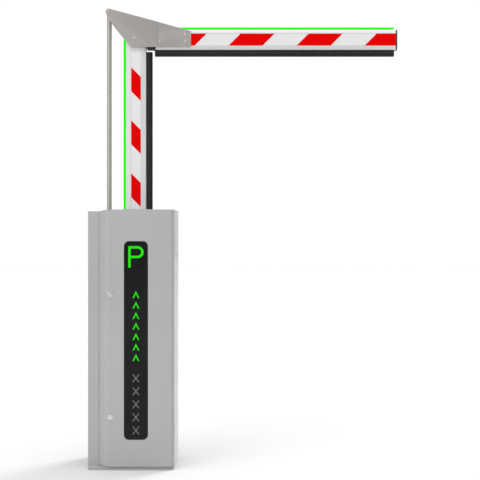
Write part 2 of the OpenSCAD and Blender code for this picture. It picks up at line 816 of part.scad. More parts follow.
module circuit_breakers() {
    z = rail_zs[1];
    depths = [0, 32.5, 50.5]; // of the base, the body and the nose
    for (i = [0:breakers - 1]) {
        x = panel_x0 + 14 + i * (breaker_w + 0.4);
        color([0.90, 0.90, 0.88])
        slab_x(x, x + breaker_w)
            polygon([[rail_y, z - 6], [rail_y - depths[1], z - 6], [rail_y - depths[1], z + 11],
                [rail_y - depths[2], z + 11], [rail_y - depths[2], z + 47],
                [rail_y - depths[1], z + 47], [rail_y - depths[1], z + 64], [rail_y, z + 64]]);
        color([0.10, 0.15, 0.20])
        box([x + 4, x + breaker_w - 4], [rail_y - depths[2] - 10, rail_y - depths[2]], [z + 31, z + 37]);
    }
}

module power_supply() {
    z = rail_zs[1];
    front = panel_y - 60;
    slots = 6;
    color([0.65, 0.66, 0.66])
    difference() {
        box([panel_x0 + supply_x, panel_x1 - 10], [front, rail_y], [z - 12, z + 74]);
        for (i = [0:slots - 1])
            box([panel_x0 + supply_x + 8, panel_x1 - 18], [front - e, front + 2],
                [z + 6 + i * 10, z + 10 + i * 10]);
    }
}

module terminal_blocks() {
    z = rail_zs[0];
    depth = 30.5;
    color([0.30, 0.42, 0.36])
    for (i = [0:terminals - 1]) {
        x = panel_x0 + 16 + i * (terminal_w + 0.4);
        difference() {
            box([x, x + terminal_w], [rail_y - depth, rail_y], [z - 6, z + rail_h + 5]);
            for (hole = [z + 2, z + rail_h - 3])
                rod_y(x + terminal_w / 2, hole, rail_y - depth - e, rail_y - depth + 18, terminal_w / 4);
        }
    }
}

// ---- door hinges ----

module hinge_leaves_fixed() {
    color([0.50, 0.51, 0.52])
    for (z = hinge_zs) {
        difference() {
            union() {
                rod_z(hinge_x, hinge_y, z - hinge_half, z - knuckle_gap, knuckle_r);
                box([hinge_x - hinge_leaf_w, hinge_x + 3], [y_frame - leaf_t, y_frame],
                    [z - hinge_half, z - knuckle_gap]);
                box([hinge_x - 3, hinge_x + 2], [hinge_y + 3, y_frame - leaf_t + e],
                    [z - hinge_half, z - knuckle_gap]);
            }
            rod_z(hinge_x, hinge_y, z - hinge_half - e, z - knuckle_gap + e, hinge_pin_r);
        }
        rod_z(hinge_x, hinge_y, z - hinge_half, z + hinge_half, hinge_pin_r);
    }
}

module hinge_leaves_door() {
    color([0.50, 0.51, 0.52])
    for (z = hinge_zs)
        difference() {
            union() {
                rod_z(hinge_x, hinge_y, z, z + hinge_half, knuckle_r);
                box([hinge_x - hinge_leaf_w - 8, hinge_x - 3], [hinge_y - sheet - leaf_t, hinge_y - sheet],
                    [z, z + hinge_half]);
            }
            rod_z(hinge_x, hinge_y, z - e, z + hinge_half + e, hinge_pin_r + run);
        }
}

// ---- door ----

// Plan of the door, set in by d all round its front
module door_plan(d) {
    c1 = [flat_x, y_face + slant_r];
    c2 = [x_right - corner_r, y_face + corner_r];
    polygon(concat(
        [[door_x0 + d / sin(slant_lean), y_door]],
        arc(c1, slant_r - d, 270 - slant_lean, 270, 10),
        arc(c2, corner_r - d, 270, 360, 12),
        [[x_right - d, y_door]]));
}

// The door as a block, set in by d, with its upper corner by the strip cut back to the hood
module door_block(d) {
    intersection() {
        translate([0, 0, door_z + d]) linear_extrude(cab_h - door_z - 2 * d) door_plan(d);
        slab_y(y_face - e, y_door + e)
            polygon([[door_x0 - e, door_z], [x_right + e, door_z], [x_right + e, cab_h + e],
                [flat_x, cab_h + e], [flat_x, cab_h - d], [door_x0 - e, hood_z - d]]);
    }
}

module door_panel() {
    color([0.68, 0.69, 0.69])
    difference() {
        door_block(0);
        intersection() {
            door_block(sheet);
            box([x_left, x_right], [y_face, y_door - sheet], [door_z, cab_h]);
        }
        // back opening inside the lip
        box([door_x0 + lip_w, open_x1 + 3], [y_door - sheet - e, y_door + e],
            [open_z0 - 6, open_z1 + 6]);
        // sign window
        slab_y(y_face - e, y_face + sheet + e) round_rect([sign_x0, sign_x0 + sign_w],
            [sign_z, sign_top], sign_r);
        for (z = lock_zs) rod_y(lock_x, z, y_face - e, y_face + sheet + e, barrel_r);
        // room for the hinges
        for (z = hinge_zs)
            box([hinge_x - knuckle_r - 1, x_right + e], [hinge_y - hinge_room, y_door + e],
                [z - hinge_half - 1, z + hinge_half + 1]);
    }
}

module door_gasket() {
    color([0.08, 0.08, 0.08])
    translate([0, y_door, 0])
    difference() {
        box([open_x0 - gasket_gap - gasket_w, open_x1 + gasket_gap + gasket_w], [0, gasket_t],
            [open_z0 - gasket_gap - gasket_w, open_z1 + gasket_gap + gasket_w]);
        box([open_x0 - gasket_gap, open_x1 + gasket_gap], [-e, gasket_t + e],
            [open_z0 - gasket_gap, open_z1 + gasket_gap]);
    }
}

module sign_window() {
    color([0.06, 0.06, 0.06]) {
        slab_y(mark_y, y_face + sheet)
            round_rect([sign_x0 + sign_fit, sign_x0 + sign_w - sign_fit],
                [sign_z + sign_fit, sign_top - sign_fit], sign_r - sign_fit);
        slab_y(y_face + sheet, y_face + sheet + glass_t)
            round_rect([sign_x0 - sign_lap, sign_x0 + sign_w + sign_lap],
                [sign_z - sign_lap, sign_top + sign_lap], sign_r);
    }
}

module sign_board() {
    y0 = y_face + sheet + glass_t;
    y1 = y0 + board_t;
    inset = 4;
    color([0.05, 0.30, 0.15])
    slab_y(y0, y1)
        square_at([sign_x0 + inset / 2, sign_x0 + sign_w - inset / 2], [sign_z + inset, sign_top - inset]);
    color([0.10, 0.10, 0.10])
    for (i = [0:drivers - 1]) {
        z = sign_z + sign_h / 2 + (i - (drivers - 1) / 2) * driver_step;
        box([sign_x - driver_w / 2, sign_x + driver_w / 2], [y1, y1 + driver_t],
            [z - driver_h / 2, z + driver_h / 2]);
    }
}

module square_at(x, z) {
    translate([x[0], z[0]]) square([x[1] - x[0], z[1] - z[0]]);
}

// A bar with round ends between two points
module stroke(a, b, t) {
    lean = atan2(b[1] - a[1], b[0] - a[0]);
    polygon(concat(arc(b, t / 2, lean - 90, lean + 90), arc(a, t / 2, lean + 90, lean + 270)));
}

// An arrow head that points up, from its tip
module chevron(tip) {
    half = mark_w / 2;
    notch = chevron_h * chevron_t / half; // height of the stroke, so that its sides are parallel
    translate(tip) polygon([[0, 0], [half, -chevron_h], [half - chevron_t, -chevron_h], [0, -notch],
        [chevron_t - half, -chevron_h], [-half, -chevron_h]]);
}

module letter() {
    x0 = sign_x - letter_w / 2;
    bowl = letter_h * 0.56;
    r = bowl / 2;
    union() {
        round_rect([x0, x0 + letter_t], [letter_z - letter_h, letter_z], 2.5);
        difference() {
            union() {
                square_at([x0 + 2, x0 + letter_w - r], [letter_z - bowl, letter_z]);
                translate([x0 + letter_w - r, letter_z - r]) circle(r = r);
            }
            square_at([x0 + 2, x0 + letter_w - r], [letter_z - bowl + letter_t, letter_z - letter_t]);
            translate([x0 + letter_w - r, letter_z - r]) circle(r = r - letter_t);
        }
    }
}

module lit_symbols() {
    color([0.10, 0.95, 0.10])
    slab_y(mark_y - mark_t, mark_y) {
        letter();
        for (i = [0:chevrons - 1]) chevron([sign_x, chevron_top - i * chevron_step]);
    }
}

module unlit_symbols() {
    half_w = (mark_w - cross_t) / 2;
    half_h = (cross_h - cross_t) / 2;
    color([0.45, 0.46, 0.46])
    slab_y(mark_y - mark_t, mark_y)
        for (i = [0:crosses - 1], s = [-1, 1]) {
            z = cross_z + i * cross_step;
            stroke([sign_x - s * half_w, z - half_h], [sign_x + s * half_w, z + half_h], cross_t);
        }
}

module lock_barrels() {
    y_nut = y_face + sheet + nut_gap;
    color([0.80, 0.79, 0.77])
    for (z = lock_zs)
        difference() {
            union() {
                rod_y(lock_x, z, y_face - ring_t, y_face, lock_r);
                rod_y(lock_x, z, y_face - ring_t / 2, barrel_end, barrel_r - barrel_gap);
                rod_y(lock_x, z, y_nut, y_nut + nut_t, nut_r, 6);
            }
            rod_y(lock_x, z, y_face - ring_t - e, barrel_end + e, plug_r + run);
        }
}

module lock_cam(z) {
    color([0.86, 0.85, 0.83])
    difference() {
        union() {
            rod_y(lock_x, z, y_face - 0.7 * ring_t, cam_y + cam_t + 2, plug_r);
            slab_y(cam_y, cam_y + cam_t)
                rounded_outline([[lock_x, z - cam_len + cam_w, cam_w / 2], [lock_x + 1, z, cam_w / 2],
                    [lock_x, z + 1, cam_w / 2]]);
        }
        // key slot
        box([lock_x - 0.8, lock_x + 0.8], [y_face - ring_t - e, y_face + ring_t], [z - 4, z + 4]);
    }
}

module upper_lock_cam() {
    lock_cam(lock_top);
}

module lower_lock_cam() {
    lock_cam(lock_low);
}

// ---- shaft and drive ----

module main_shaft() {
    color([0.62, 0.63, 0.64])
    rod_y(shaft_x, shaft_z, y_shaft0, y_boom - hub_t, shaft_r);
}

module worm_wheel() {
    teeth = 30;
    color([0.72, 0.58, 0.28])
    difference() {
        rod_y(shaft_x, shaft_z, y_gear_mid - 12, y_gear_mid + 12, wheel_r, 120);
        rod_y(shaft_x, shaft_z, y_gear_mid - 12 - e, y_gear_mid + 12 + e, shaft_r);
        at_shaft() for (i = [0:teeth - 1]) rotate([0, i * 360 / teeth, 0])
            translate([wheel_r - 4, y_gear_mid - 13, -1.6]) cube([6, 26, 3.2]);
    }
}

module spring_quadrant() {
    rim = strap_r - strap_t;
    anchor_a = quad_a0 + 5;
    color([0.58, 0.60, 0.61])
    difference() {
        union() {
            shaft_ring(y_quad - quad_t / 2, y_quad + 1.5 * quad_t, shaft_r, shaft_r + 14);
            intersection() {
                rod_y(shaft_x, shaft_z, y_quad, y_quad + quad_t, rim, 96);
                at_shaft() rotate([90, 0, 0]) translate([0, 0, -y_quad - quad_t])
                    linear_extrude(quad_t) polygon([[0, 0],
                        for (i = [0:6]) let (a = quad_a0 + (quad_a1 - quad_a0) * i / 6)
                            [-cos(a), -sin(a)] * strap_r * 1.2]);
            }
        }
        rod_y(shaft_x, shaft_z, y_quad - quad_t, y_quad + 2 * quad_t, shaft_r);
        // lightening holes
        for (a = [20, 65]) at_shaft() rotate([0, -a, 0])
            rod_y(-0.7 * strap_r, 0, y_quad - e, y_quad + quad_t + e, 11);
    }
    // the end of the strap, wound on the rim and clamped
    color([0.50, 0.51, 0.52])
    at_shaft() rotate([90, 0, 0]) translate([0, 0, -strap_y - strap_w / 2]) linear_extrude(strap_w)
        polygon(concat(arc([0, 0], strap_r, 180, 180 + anchor_a, 6),
            arc([0, 0], rim, 180 + anchor_a, 180, 6)));
}

module arm_hub() {
    color([0.50, 0.52, 0.53])
    difference() {
        union() {
            rod_y(shaft_x, shaft_z, y_rear + hub_gap, y_boom - hub_t + e, hub_r);
            lower_frame() box([-clamp_down, clamp_up], [y_boom - hub_t, y_boom],
                [-boom_off - clamp_w / 2, -boom_off + clamp_w / 2]);
        }
        rod_y(shaft_x, shaft_z, y_rear + hub_gap - e, y_boom - hub_t, shaft_r);
        lower_frame() clamp_holes(y_boom - hub_t - e, y_boom + e);
    }
}

module clamp_holes(y0, y1) {
    for (x = clamp_zs, z = [-1, 1])
        rod_y(x, -boom_off + z * clamp_row, y0, y1, clamp_bolt_r);
}

module clamp_plate() {
    color([0.50, 0.52, 0.53])
    lower_frame() difference() {
        slab_y(y_boom1, y_boom1 + clamp_plate_t) round_rect([-clamp_down, clamp_up],
            [-boom_off - clamp_w / 2, -boom_off + clamp_w / 2], 8);
        clamp_holes(y_boom1 - e, y_boom1 + clamp_plate_t + e);
    }
}

module clamp_bolts() {
    y0 = y_boom - hub_t;
    y1 = y_boom1 + clamp_plate_t;
    color([0.80, 0.81, 0.82])
    lower_frame() for (x = clamp_zs, z = [-1, 1]) {
        zc = -boom_off + z * clamp_row;
        rod_y(x, zc, y0, y1, clamp_bolt_r);
        rod_y(x, zc, y1, y1 + bolt_head_h, bolt_head_r, 6);
        if (norm([x, zc]) > hub_r + bolt_head_r + 1) rod_y(x, zc, y0 - bolt_head_h, y0, bolt_head_r, 6);
    }
}

// ---- booms, drawn along +X with the light side up ----

// Half of a slot for a strip's foot, from an edge inward
module slot_shape(extra = 0) {
    square_at([-slot_w / 2 + extra, slot_w / 2 - extra], [-lip_t - e, e]);
    square_at([-slot_in / 2 + extra, slot_in / 2 - extra], [-lip_t - foot_t - fit + extra, -lip_t - extra]);
}

// Outline of the boom: flat along a printed band, leaning back on both sides of it
module boom_outline(band) {
    w = boom_t / 2;
    flat = band / 2 + 2 * groove;
    far_x = w - margin_drop - corner;
    low = boom_low + corner;
    top = boom_top - corner;
    translate([y_mid, 0]) rounded_outline([
        [-far_x, low, corner], [far_x, low, corner],
        [w - groove, -boom_off - flat, groove], [w - groove, -boom_off + flat, groove],
        [far_x, top, corner], [-far_x, top, corner],
        [groove - w, -boom_off + flat, groove], [groove - w, -boom_off - flat, groove]]);
}

module boom_profile(band) {
    w = boom_t / 2;
    difference() {
        boom_outline(band);
        translate([y_mid, 0]) round_rect([-w + boom_wall, w - boom_wall],
            [boom_low + slot_d + boom_wall, boom_top - slot_d - boom_wall], 2 * margin_drop);
        translate([y_mid, boom_top]) slot_shape();
        translate([y_mid, boom_low]) mirror([0, 1]) slot_shape();
        // grooves beside the printed band, front and back
        for (s = [-1, 1], z = [-1, 1])
            translate([y_mid + s * w, -boom_off + z * (band / 2 + groove)])
                circle(r = groove / 1.4, $fn = 16);
    }
}

module boom_body(x0, x1, band) {
    color([0.90, 0.90, 0.90]) slab_x(x0, x1) boom_profile(band);
}

module end_cap(x0, x1, band) {
    slab_x(x0, x1) boom_outline(band);
}

// The foot that holds a strip in the profile's slot
module foot(x0, x1) {
    slab_x(max(x0, outer_x0), x1) {
        square_at([-slot_w / 2 + fit, slot_w / 2 - fit], [-lip_t - foot_t / 2, e]);
        square_at([-slot_in / 2 + fit, slot_in / 2 - fit], [-lip_t - foot_t, -lip_t - fit]);
    }
}

module light_strip(x0, x1) {
    color([0.10, 0.95, 0.10])
    translate([0, y_mid, boom_top]) {
        slab_x(x0, x1) {
            round_rect([-led_t / 2, led_t / 2], [0, led_w], led_round);
            square_at([-led_t / 2, led_t / 2], [0, led_round]);
        }
        foot(x0, x1);
    }
}

module rubber(x0, x1) {
    color([0.12, 0.12, 0.12])
    translate([0, y_mid, boom_low]) mirror([0, 0, 1]) {
        slab_x(x0, x1) difference() {
            union() {
                round_rect([-rubber_t / 2, rubber_t / 2], [0, rubber_w], rubber_round);
                square_at([-rubber_t / 2, rubber_t / 2], [0, rubber_round]);
            }
            round_rect([-rubber_t / 2 + rubber_wall, rubber_t / 2 - rubber_wall],
                [rubber_wall, rubber_w - rubber_wall], rubber_round - 2);
        }
        foot(x0, x1);
    }
}

// Slanted red stripes on both faces of the boom, kept between x_start and x_end
module red_stripes(set, band, x_start, x_end) {
    h = band / 2;
    color([0.85, 0.02, 0.03])
    for (y = [y_boom - stripe_t, y_boom1], i = [0:set[3] - 1]) {
        x = set[0] + i * set[2];
        slab_y(y, y + stripe_t) intersection() {
            translate([0, -boom_off])
                polygon([[x - h, -h], [x + set[1] - h, -h], [x + set[1] + h, h], [x + h, h]]);
            square_at([x_start, x_end], [-boom_h, boom_h]);
        }
    }
}

module lower_boom() {
    lower_frame() difference() {
        boom_body(lower_x0, lower_x1, lower_band_w);
        clamp_holes(y_boom - e, y_boom1 + e);
        rod_y(arm_len, 0, y_boom - e, y_boom1 + e, bush_r);
    }
}

module lower_end_caps() {
    color([0.12, 0.12, 0.12])
    lower_frame() {
        end_cap(lower_x0 - root_cap_t, lower_x0, lower_band_w);
        end_cap(lower_x1, lower_x1 + thin_cap_t, lower_band_w);
    }
}

module lower_light_strip() {
    lower_frame() light_strip(lower_strip_x0, lower_led_x1);
}

module lower_rubber() {
    lower_frame() rubber(lower_strip_x0, lower_rubber_x1);
}

module lower_red_stripes() {
    lower_frame() red_stripes(lower_stripe, lower_band_w, clamp_up + 2, arm_len - 60);
}

module elbow_bush() {
    color([0.72, 0.60, 0.32])
    outer_frame() difference() {
        union() {
            rod_y(0, 0, y_boom, y_boom1, bush_r);
            rod_y(0, 0, y_boom - plate_gap + 0.3, y_boom, bush_flange_r);
            rod_y(0, 0, y_boom1, y_boom1 + plate_gap - 0.3, bush_flange_r);
        }
        rod_y(0, 0, y_boom - plate_gap, y_boom1 + plate_gap, elbow_pin_r + run);
    }
}

// ---- elbow and outer boom ----

module elbow_outline() {
    low = plate_low + plate_round_r;
    rounded_outline([
        [-rod_dx, rod_dz, tip_r],
        [tip_bend[0] - rod_dx, tip_bend[1] + rod_dz, tip_bend[2]],
        [plate_round_x, low, plate_round_r],
        [plate_end - plate_corner_r, plate_low + plate_corner_r, plate_corner_r],
        [plate_end - plate_corner_r, end_z - plate_corner_r + 2, plate_corner_r],
        [fold_x, fold_z - 4, 4]]);
}

// Plan of the front plate: flat on the outer boom, joggled forward over the lower boom
module joggle_plan() {
    y_in = y_boom;
    y_out = y_boom - plate_gap;
    x_far = plate_end + 10;
    x_near = -rod_dx - 40;
    polygon([[x_far, y_in], [fold_x + fold_run / 2, y_in], [fold_x - fold_run / 2, y_out],
        [x_near, y_out], [x_near, y_out - plate_t], [fold_x - fold_run / 2, y_out - plate_t],
        [fold_x + fold_run / 2, y_in - plate_t], [x_far, y_in - plate_t]]);
}

module elbow_plate() {
    difference() {
        intersection() {
            slab_y(y_boom - 20, y_boom + e) elbow_outline();
            translate([0, 0, -200]) linear_extrude(400) joggle_plan();
        }
        rod_y(0, 0, y_boom - 20, y_boom + e, elbow_pin_r);
        rod_y(-rod_dx, rod_dz, y_boom - 20, y_boom + e, tip_pin_r);
        for (x = screw_xs, z = screw_zs) rod_y(x, z, y_boom - 20, y_boom + e, screw_r);
    }
}

module elbow_plates() {
    color([0.66, 0.65, 0.63])
    outer_frame() {
        elbow_plate();
        translate([0, 2 * y_mid, 0]) mirror([0, 1, 0]) elbow_plate();
    }
}

module elbow_pins() {
    y0 = y_boom - plate_gap - plate_t;
    y1 = y_boom1 + plate_gap + plate_t;
    color([0.76, 0.75, 0.73])
    outer_frame() {
        rod_y(0, 0, y0, y1, elbow_pin_r);
        rod_y(-rod_dx, rod_dz, y0, y1, tip_pin_r);
        for (y = [y0 - pin_head_t, y1]) {
            rod_y(0, 0, y, y + pin_head_t, elbow_pin_r + pin_head_t);
            rod_y(-rod_dx, rod_dz, y, y + pin_head_t, pin_head_r);
        }
        // spacers that hold the plates apart beside the rod end
        for (y = [[y0 + plate_t, y_mid - rod_eye_t / 2 - 1], [y_mid + rod_eye_t / 2 + 1, y1 - plate_t]])
            rod_y(-rod_dx, rod_dz, y[0], y[1], tip_pin_r + 4);
    }
}

module elbow_screws() {
    color([0.80, 0.79, 0.77])
    outer_frame() for (x = screw_xs, z = screw_zs) {
        rod_y(x, z, y_boom - plate_t, y_boom1 + plate_t, screw_r);
        rod_y(x, z, y_boom - plate_t - 2, y_boom - plate_t, screw_r + 1.5);
        rod_y(x, z, y_boom1 + plate_t, y_boom1 + plate_t + 4, screw_r + 3, 6);
    }
}

module outer_boom() {
    outer_frame() difference() {
        boom_body(outer_x0, outer_len, band_w);
        for (x = screw_xs, z = screw_zs) rod_y(x, z, y_boom - e, y_boom1 + e, screw_r);
    }
}

module outer_end_caps() {
    color([0.16, 0.16, 0.16])
    outer_frame() {
        end_cap(outer_len, outer_len + cap_t, band_w);
        end_cap(outer_x0 - thin_cap_t, outer_x0, band_w);
    }
}

module outer_light_strip() {
    outer_frame() light_strip(outer_x0, outer_len - 6);
}

module outer_rubber() {
    outer_frame() rubber(outer_rubber_x0, outer_len - 6);
}

module outer_red_stripes() {
    outer_frame() red_stripes(outer_stripe, band_w, plate_end + 0.5, outer_len);
}

module stop_block() {
    color([0.06, 0.06, 0.06])
    outer_frame() box(stop_x, [y_boom - plate_gap, y_boom1 + plate_gap], stop_z);
}

// ---- tie rod, spring yoke and worm ----

module tie_rod() {
    color([0.66, 0.65, 0.63])
    difference() {
        union() {
            rod_z(stud_x, y_mid, stud_z + rod_eye_r - 3, stud_z + arm_len - rod_eye_r + 3, rod_r);
            for (z = [stud_z, stud_z + arm_len])
                rod_y(stud_x, z, y_mid - rod_eye_t / 2, y_mid + rod_eye_t / 2, rod_eye_r);
        }
        rod_y(stud_x, stud_z, y_mid - 20, y_mid + 20, stud_r + run);
        rod_y(stud_x, stud_z + arm_len, y_mid - 20, y_mid + 20, tip_pin_r + open_pivot);
    }
}

module spring_yoke() {
    color([0.62, 0.63, 0.64]) {
        box([strap_x - spring_dx - yoke_end, strap_x + spring_dx + yoke_end],
            [strap_y - yoke_d / 2, strap_y + yoke_d / 2], [yoke_z, yoke_z + yoke_h]);
        for (s = [-1, 1])
            translate([strap_x + s * spring_dx, strap_y, yoke_z - eye_r]) spring_eye(eye_r + 0.5);
    }
}

module worm_rotor() {
    ridge = 5;
    color([0.62, 0.63, 0.64])
    union() {
        rod_z(worm_x, y_gear_mid, motor_z + motor_end / 2 + 2, wheel_top + 16, rotor_shaft_r);
        translate([worm_x, y_gear_mid, shaft_z - worm_half]) rotate_extrude()
            polygon(concat([[0, 0]],
                [for (i = [0:2 * worm_half / ridge - 1], p = [[-4, 0], [0, 1.5], [0, 3.5], [-4, 5]])
                    [worm_r + p[0], i * ridge + p[1]]],
                [[0, floor(2 * worm_half / ridge) * ridge]]));
        rod_z(worm_x, y_gear_mid, motor_z + motor_end + 10, motor_top - motor_end - 10,
            motor_r - motor_wall - 1);
    }
}

module hand_wheel() {
    wheel_h = 10;
    rim_r = 34;
    color([0.70, 0.10, 0.08])
    difference() {
        union() {
            translate([worm_x, y_gear_mid, wheel_top + 4]) rotate_extrude()
                translate([rim_r, 0]) circle(r = 5, $fn = 24);
            rod_z(worm_x, y_gear_mid, wheel_top, wheel_top + wheel_h, 12);
            for (i = [0:2]) translate([worm_x, y_gear_mid, wheel_top + 1]) rotate(i * 120)
                translate([8, -4, 0]) cube([rim_r - 8, 8, 6]);
        }
        rod_z(worm_x, y_gear_mid, wheel_top - e, wheel_top + wheel_h + e, rotor_shaft_r);
    }
}

base_plate();
cabinet_shell();
top_hood();
hood_screws();
mechanism_plate();
shaft_seal();
bearing_housing();
shaft_bearings();
gearbox_housing();
gearbox_posts();
motor_housing();
stop_bumpers();
spring_anchor();
spring_adjusters();
balance_springs();
balance_strap();
limit_switches();
tie_rod_stud();
equipment_panel();
control_box();
circuit_breakers();
power_supply();
terminal_blocks();
hinge_leaves_fixed();
door_panel();
door_gasket();
sign_window();
sign_board();
lit_symbols();
unlit_symbols();
hinge_leaves_door();
lock_barrels();
upper_lock_cam();
lower_lock_cam();
main_shaft();
worm_wheel();
spring_quadrant();
arm_hub();
clamp_plate();
clamp_bolts();
lower_boom();
lower_end_caps();
lower_light_strip();
lower_rubber();
lower_red_stripes();
elbow_bush();
elbow_plates();
elbow_pins();
elbow_screws();
outer_boom();
outer_end_caps();
outer_light_strip();
outer_rubber();
outer_red_stripes();
stop_block();
tie_rod();
spring_yoke();
worm_rotor();
hand_wheel();
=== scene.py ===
"""Looks of the parking barrier gate: finishes, fine detail, light and camera round the CAD model.

Metres, in the model's own frame: +X runs along the outer boom, -Y is the door's side and +Z is up.
"""

import json
import math

import bmesh
import bpy
from mathutils import Matrix, Vector


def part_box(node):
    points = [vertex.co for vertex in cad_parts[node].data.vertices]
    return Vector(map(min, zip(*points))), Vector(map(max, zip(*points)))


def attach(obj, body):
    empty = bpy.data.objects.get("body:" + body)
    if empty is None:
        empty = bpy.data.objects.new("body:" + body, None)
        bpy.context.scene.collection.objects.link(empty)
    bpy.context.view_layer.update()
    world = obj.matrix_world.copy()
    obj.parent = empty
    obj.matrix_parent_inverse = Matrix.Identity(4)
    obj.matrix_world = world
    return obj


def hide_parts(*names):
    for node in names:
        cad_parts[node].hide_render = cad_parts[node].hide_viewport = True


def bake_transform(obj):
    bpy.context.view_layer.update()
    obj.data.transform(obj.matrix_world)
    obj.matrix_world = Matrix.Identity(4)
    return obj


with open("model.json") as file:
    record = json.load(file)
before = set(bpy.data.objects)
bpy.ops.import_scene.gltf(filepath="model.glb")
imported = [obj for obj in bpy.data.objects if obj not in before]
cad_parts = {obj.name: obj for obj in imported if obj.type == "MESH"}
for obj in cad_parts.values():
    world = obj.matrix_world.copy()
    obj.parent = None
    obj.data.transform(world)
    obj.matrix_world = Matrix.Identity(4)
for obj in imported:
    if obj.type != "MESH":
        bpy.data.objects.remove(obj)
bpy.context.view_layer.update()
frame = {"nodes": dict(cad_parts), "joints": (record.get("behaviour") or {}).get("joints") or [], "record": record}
NODES = frame["nodes"]
SLOT_OF = {part["node"]: part["material_slot"] for part in frame["record"]["subparts"]}

MM = 0.001
SMOOTH_ANGLE = math.radians(35)
X, Y, Z = Vector((1, 0, 0)), Vector((0, 1, 0)), Vector((0, 0, 1))


# ---- materials ----


class Finish:
    """A node material: a colour and a roughness, with patterns laid over them."""

    def __init__(self, slot, colour, roughness, metallic=0.0, gloss=0.5):
        self.slot = slot
        self.material = bpy.data.materials.new(slot)
        self.material.use_nodes = True
        self.tree = self.material.node_tree
        self.shader = self.tree.nodes["Principled BSDF"]
        self.roughness = roughness
        self.shader.inputs["Base Color"].default_value = (*colour, 1)
        self.shader.inputs["Roughness"].default_value = roughness
        self.shader.inputs["Metallic"].default_value = metallic
        self.shader.inputs["Specular IOR Level"].default_value = gloss
        self.place = self.tree.nodes.new("ShaderNodeTexCoord").outputs["Object"]

    def node(self, kind, **inputs):
        made = self.tree.nodes.new(kind)
        for name, value in inputs.items():
            socket = made.inputs[name.replace("_", " ")]
            if isinstance(value, bpy.types.NodeSocket):
                self.tree.links.new(value, socket)
            else:
                socket.default_value = value
        return made

    def stretched(self, stretch):
        return self.node("ShaderNodeMapping", Vector=self.place, Scale=stretch).outputs["Vector"]

    def noise(self, size, detail, stretch=(1, 1, 1)):
        """Cloudy pattern whose features are about size metres."""
        made = self.node("ShaderNodeTexNoise", Vector=self.stretched(stretch), Scale=1 / size,
                         Detail=detail)
        return made.outputs["Fac"]

    def cells(self, size):
        """Distance to the edge of the nearest of many cells."""
        made = self.node("ShaderNodeTexVoronoi", Vector=self.stretched((1, 1, 1)), Scale=1 / size)
        made.feature = "DISTANCE_TO_EDGE"
        return made.outputs["Distance"]

    def between(self, pattern, low, high, out_low=0.0, out_high=1.0):
        made = self.node("ShaderNodeMapRange", Value=pattern, From_Min=low, From_Max=high,
                         To_Min=out_low, To_Max=out_high)
        return made.outputs["Result"]

    def height(self):
        """Height above the ground, in metres."""
        return self.node("ShaderNodeSeparateXYZ", Vector=self.place).outputs["Z"]

    def times(self, a, b):
        made = self.tree.nodes.new("ShaderNodeMath")
        made.operation = "MULTIPLY"
        for socket, value in zip(made.inputs, (a, b)):
            if isinstance(value, bpy.types.NodeSocket):
                self.tree.links.new(value, socket)
            else:
                socket.default_value = value
        return made.outputs["Value"]

    def edges(self, reach):
        """1 along convex and concave edges, 0 away from them."""
        flat, turned = 0.995, 0.9  # cosines between the softened normal and the true one
        soft = self.node("ShaderNodeBevel", Radius=reach)
        soft.samples = 4
        sharp = self.tree.nodes.new("ShaderNodeNewGeometry")
        dot = self.tree.nodes.new("ShaderNodeVectorMath")
        dot.operation = "DOT_PRODUCT"
        self.tree.links.new(soft.outputs["Normal"], dot.inputs[0])
        self.tree.links.new(sharp.outputs["Normal"], dot.inputs[1])
        return self.between(dot.outputs["Value"], flat, turned)

    def tint(self, colour, pattern):
        """Lays a colour over the base where the pattern is 1."""
        base = self.shader.inputs["Base Color"]
        mix = self.tree.nodes.new("ShaderNodeMix")
        mix.data_type = "RGBA"
        if base.links:
            self.tree.links.new(base.links[0].from_socket, mix.inputs["A"])
        else:
            mix.inputs["A"].default_value = base.default_value
        mix.inputs["B"].default_value = (*colour, 1)
        self.tree.links.new(pattern, mix.inputs["Factor"])
        self.tree.links.new(mix.outputs["Result"], base)

    def rough(self, pattern, spread):
        """Roughness that follows the pattern, within the spread."""
        least, most = self.roughness - spread, self.roughness + spread
        result = self.between(pattern, 0.3, 0.7, least, most)
        self.tree.links.new(result, self.shader.inputs["Roughness"])

    def bump(self, pattern, height):
        normal = self.shader.inputs["Normal"]
        made = self.node("ShaderNodeBump", Height=pattern, Distance=height)
        if normal.links:
            self.tree.links.new(normal.links[0].from_socket, made.inputs["Normal"])
        self.tree.links.new(made.outputs["Normal"], normal)

    def patches(self, colour, size, detail, low, high, share=1.0):
        """Soft patches of another colour: none where the pattern is at its low, full at its high."""
        self.tint(colour, self.between(self.noise(size, detail), low, high, 0.0, share))

    def edge_wear_and_painted_light(self, colour, reach, share):
        """Another colour along the edges: worn bare metal on castings, a dusty grey on rubber, a painted highlight
        on the other paints, plastics and metals, and painted shade on the white extrusion.
        """
        self.tint(colour, self.times(self.edges(reach), share))

    def uneven(self, size, detail, spread):
        """Roughness that wanders by the spread."""
        self.rough(self.noise(size, detail), spread)

    def grain(self, size, detail, height, stretch=(1, 1, 1)):
        """A fine relief."""
        self.bump(self.noise(size, detail, stretch), height)


def shade(colour, share):
    return tuple(min(1.0, c * share) for c in colour)


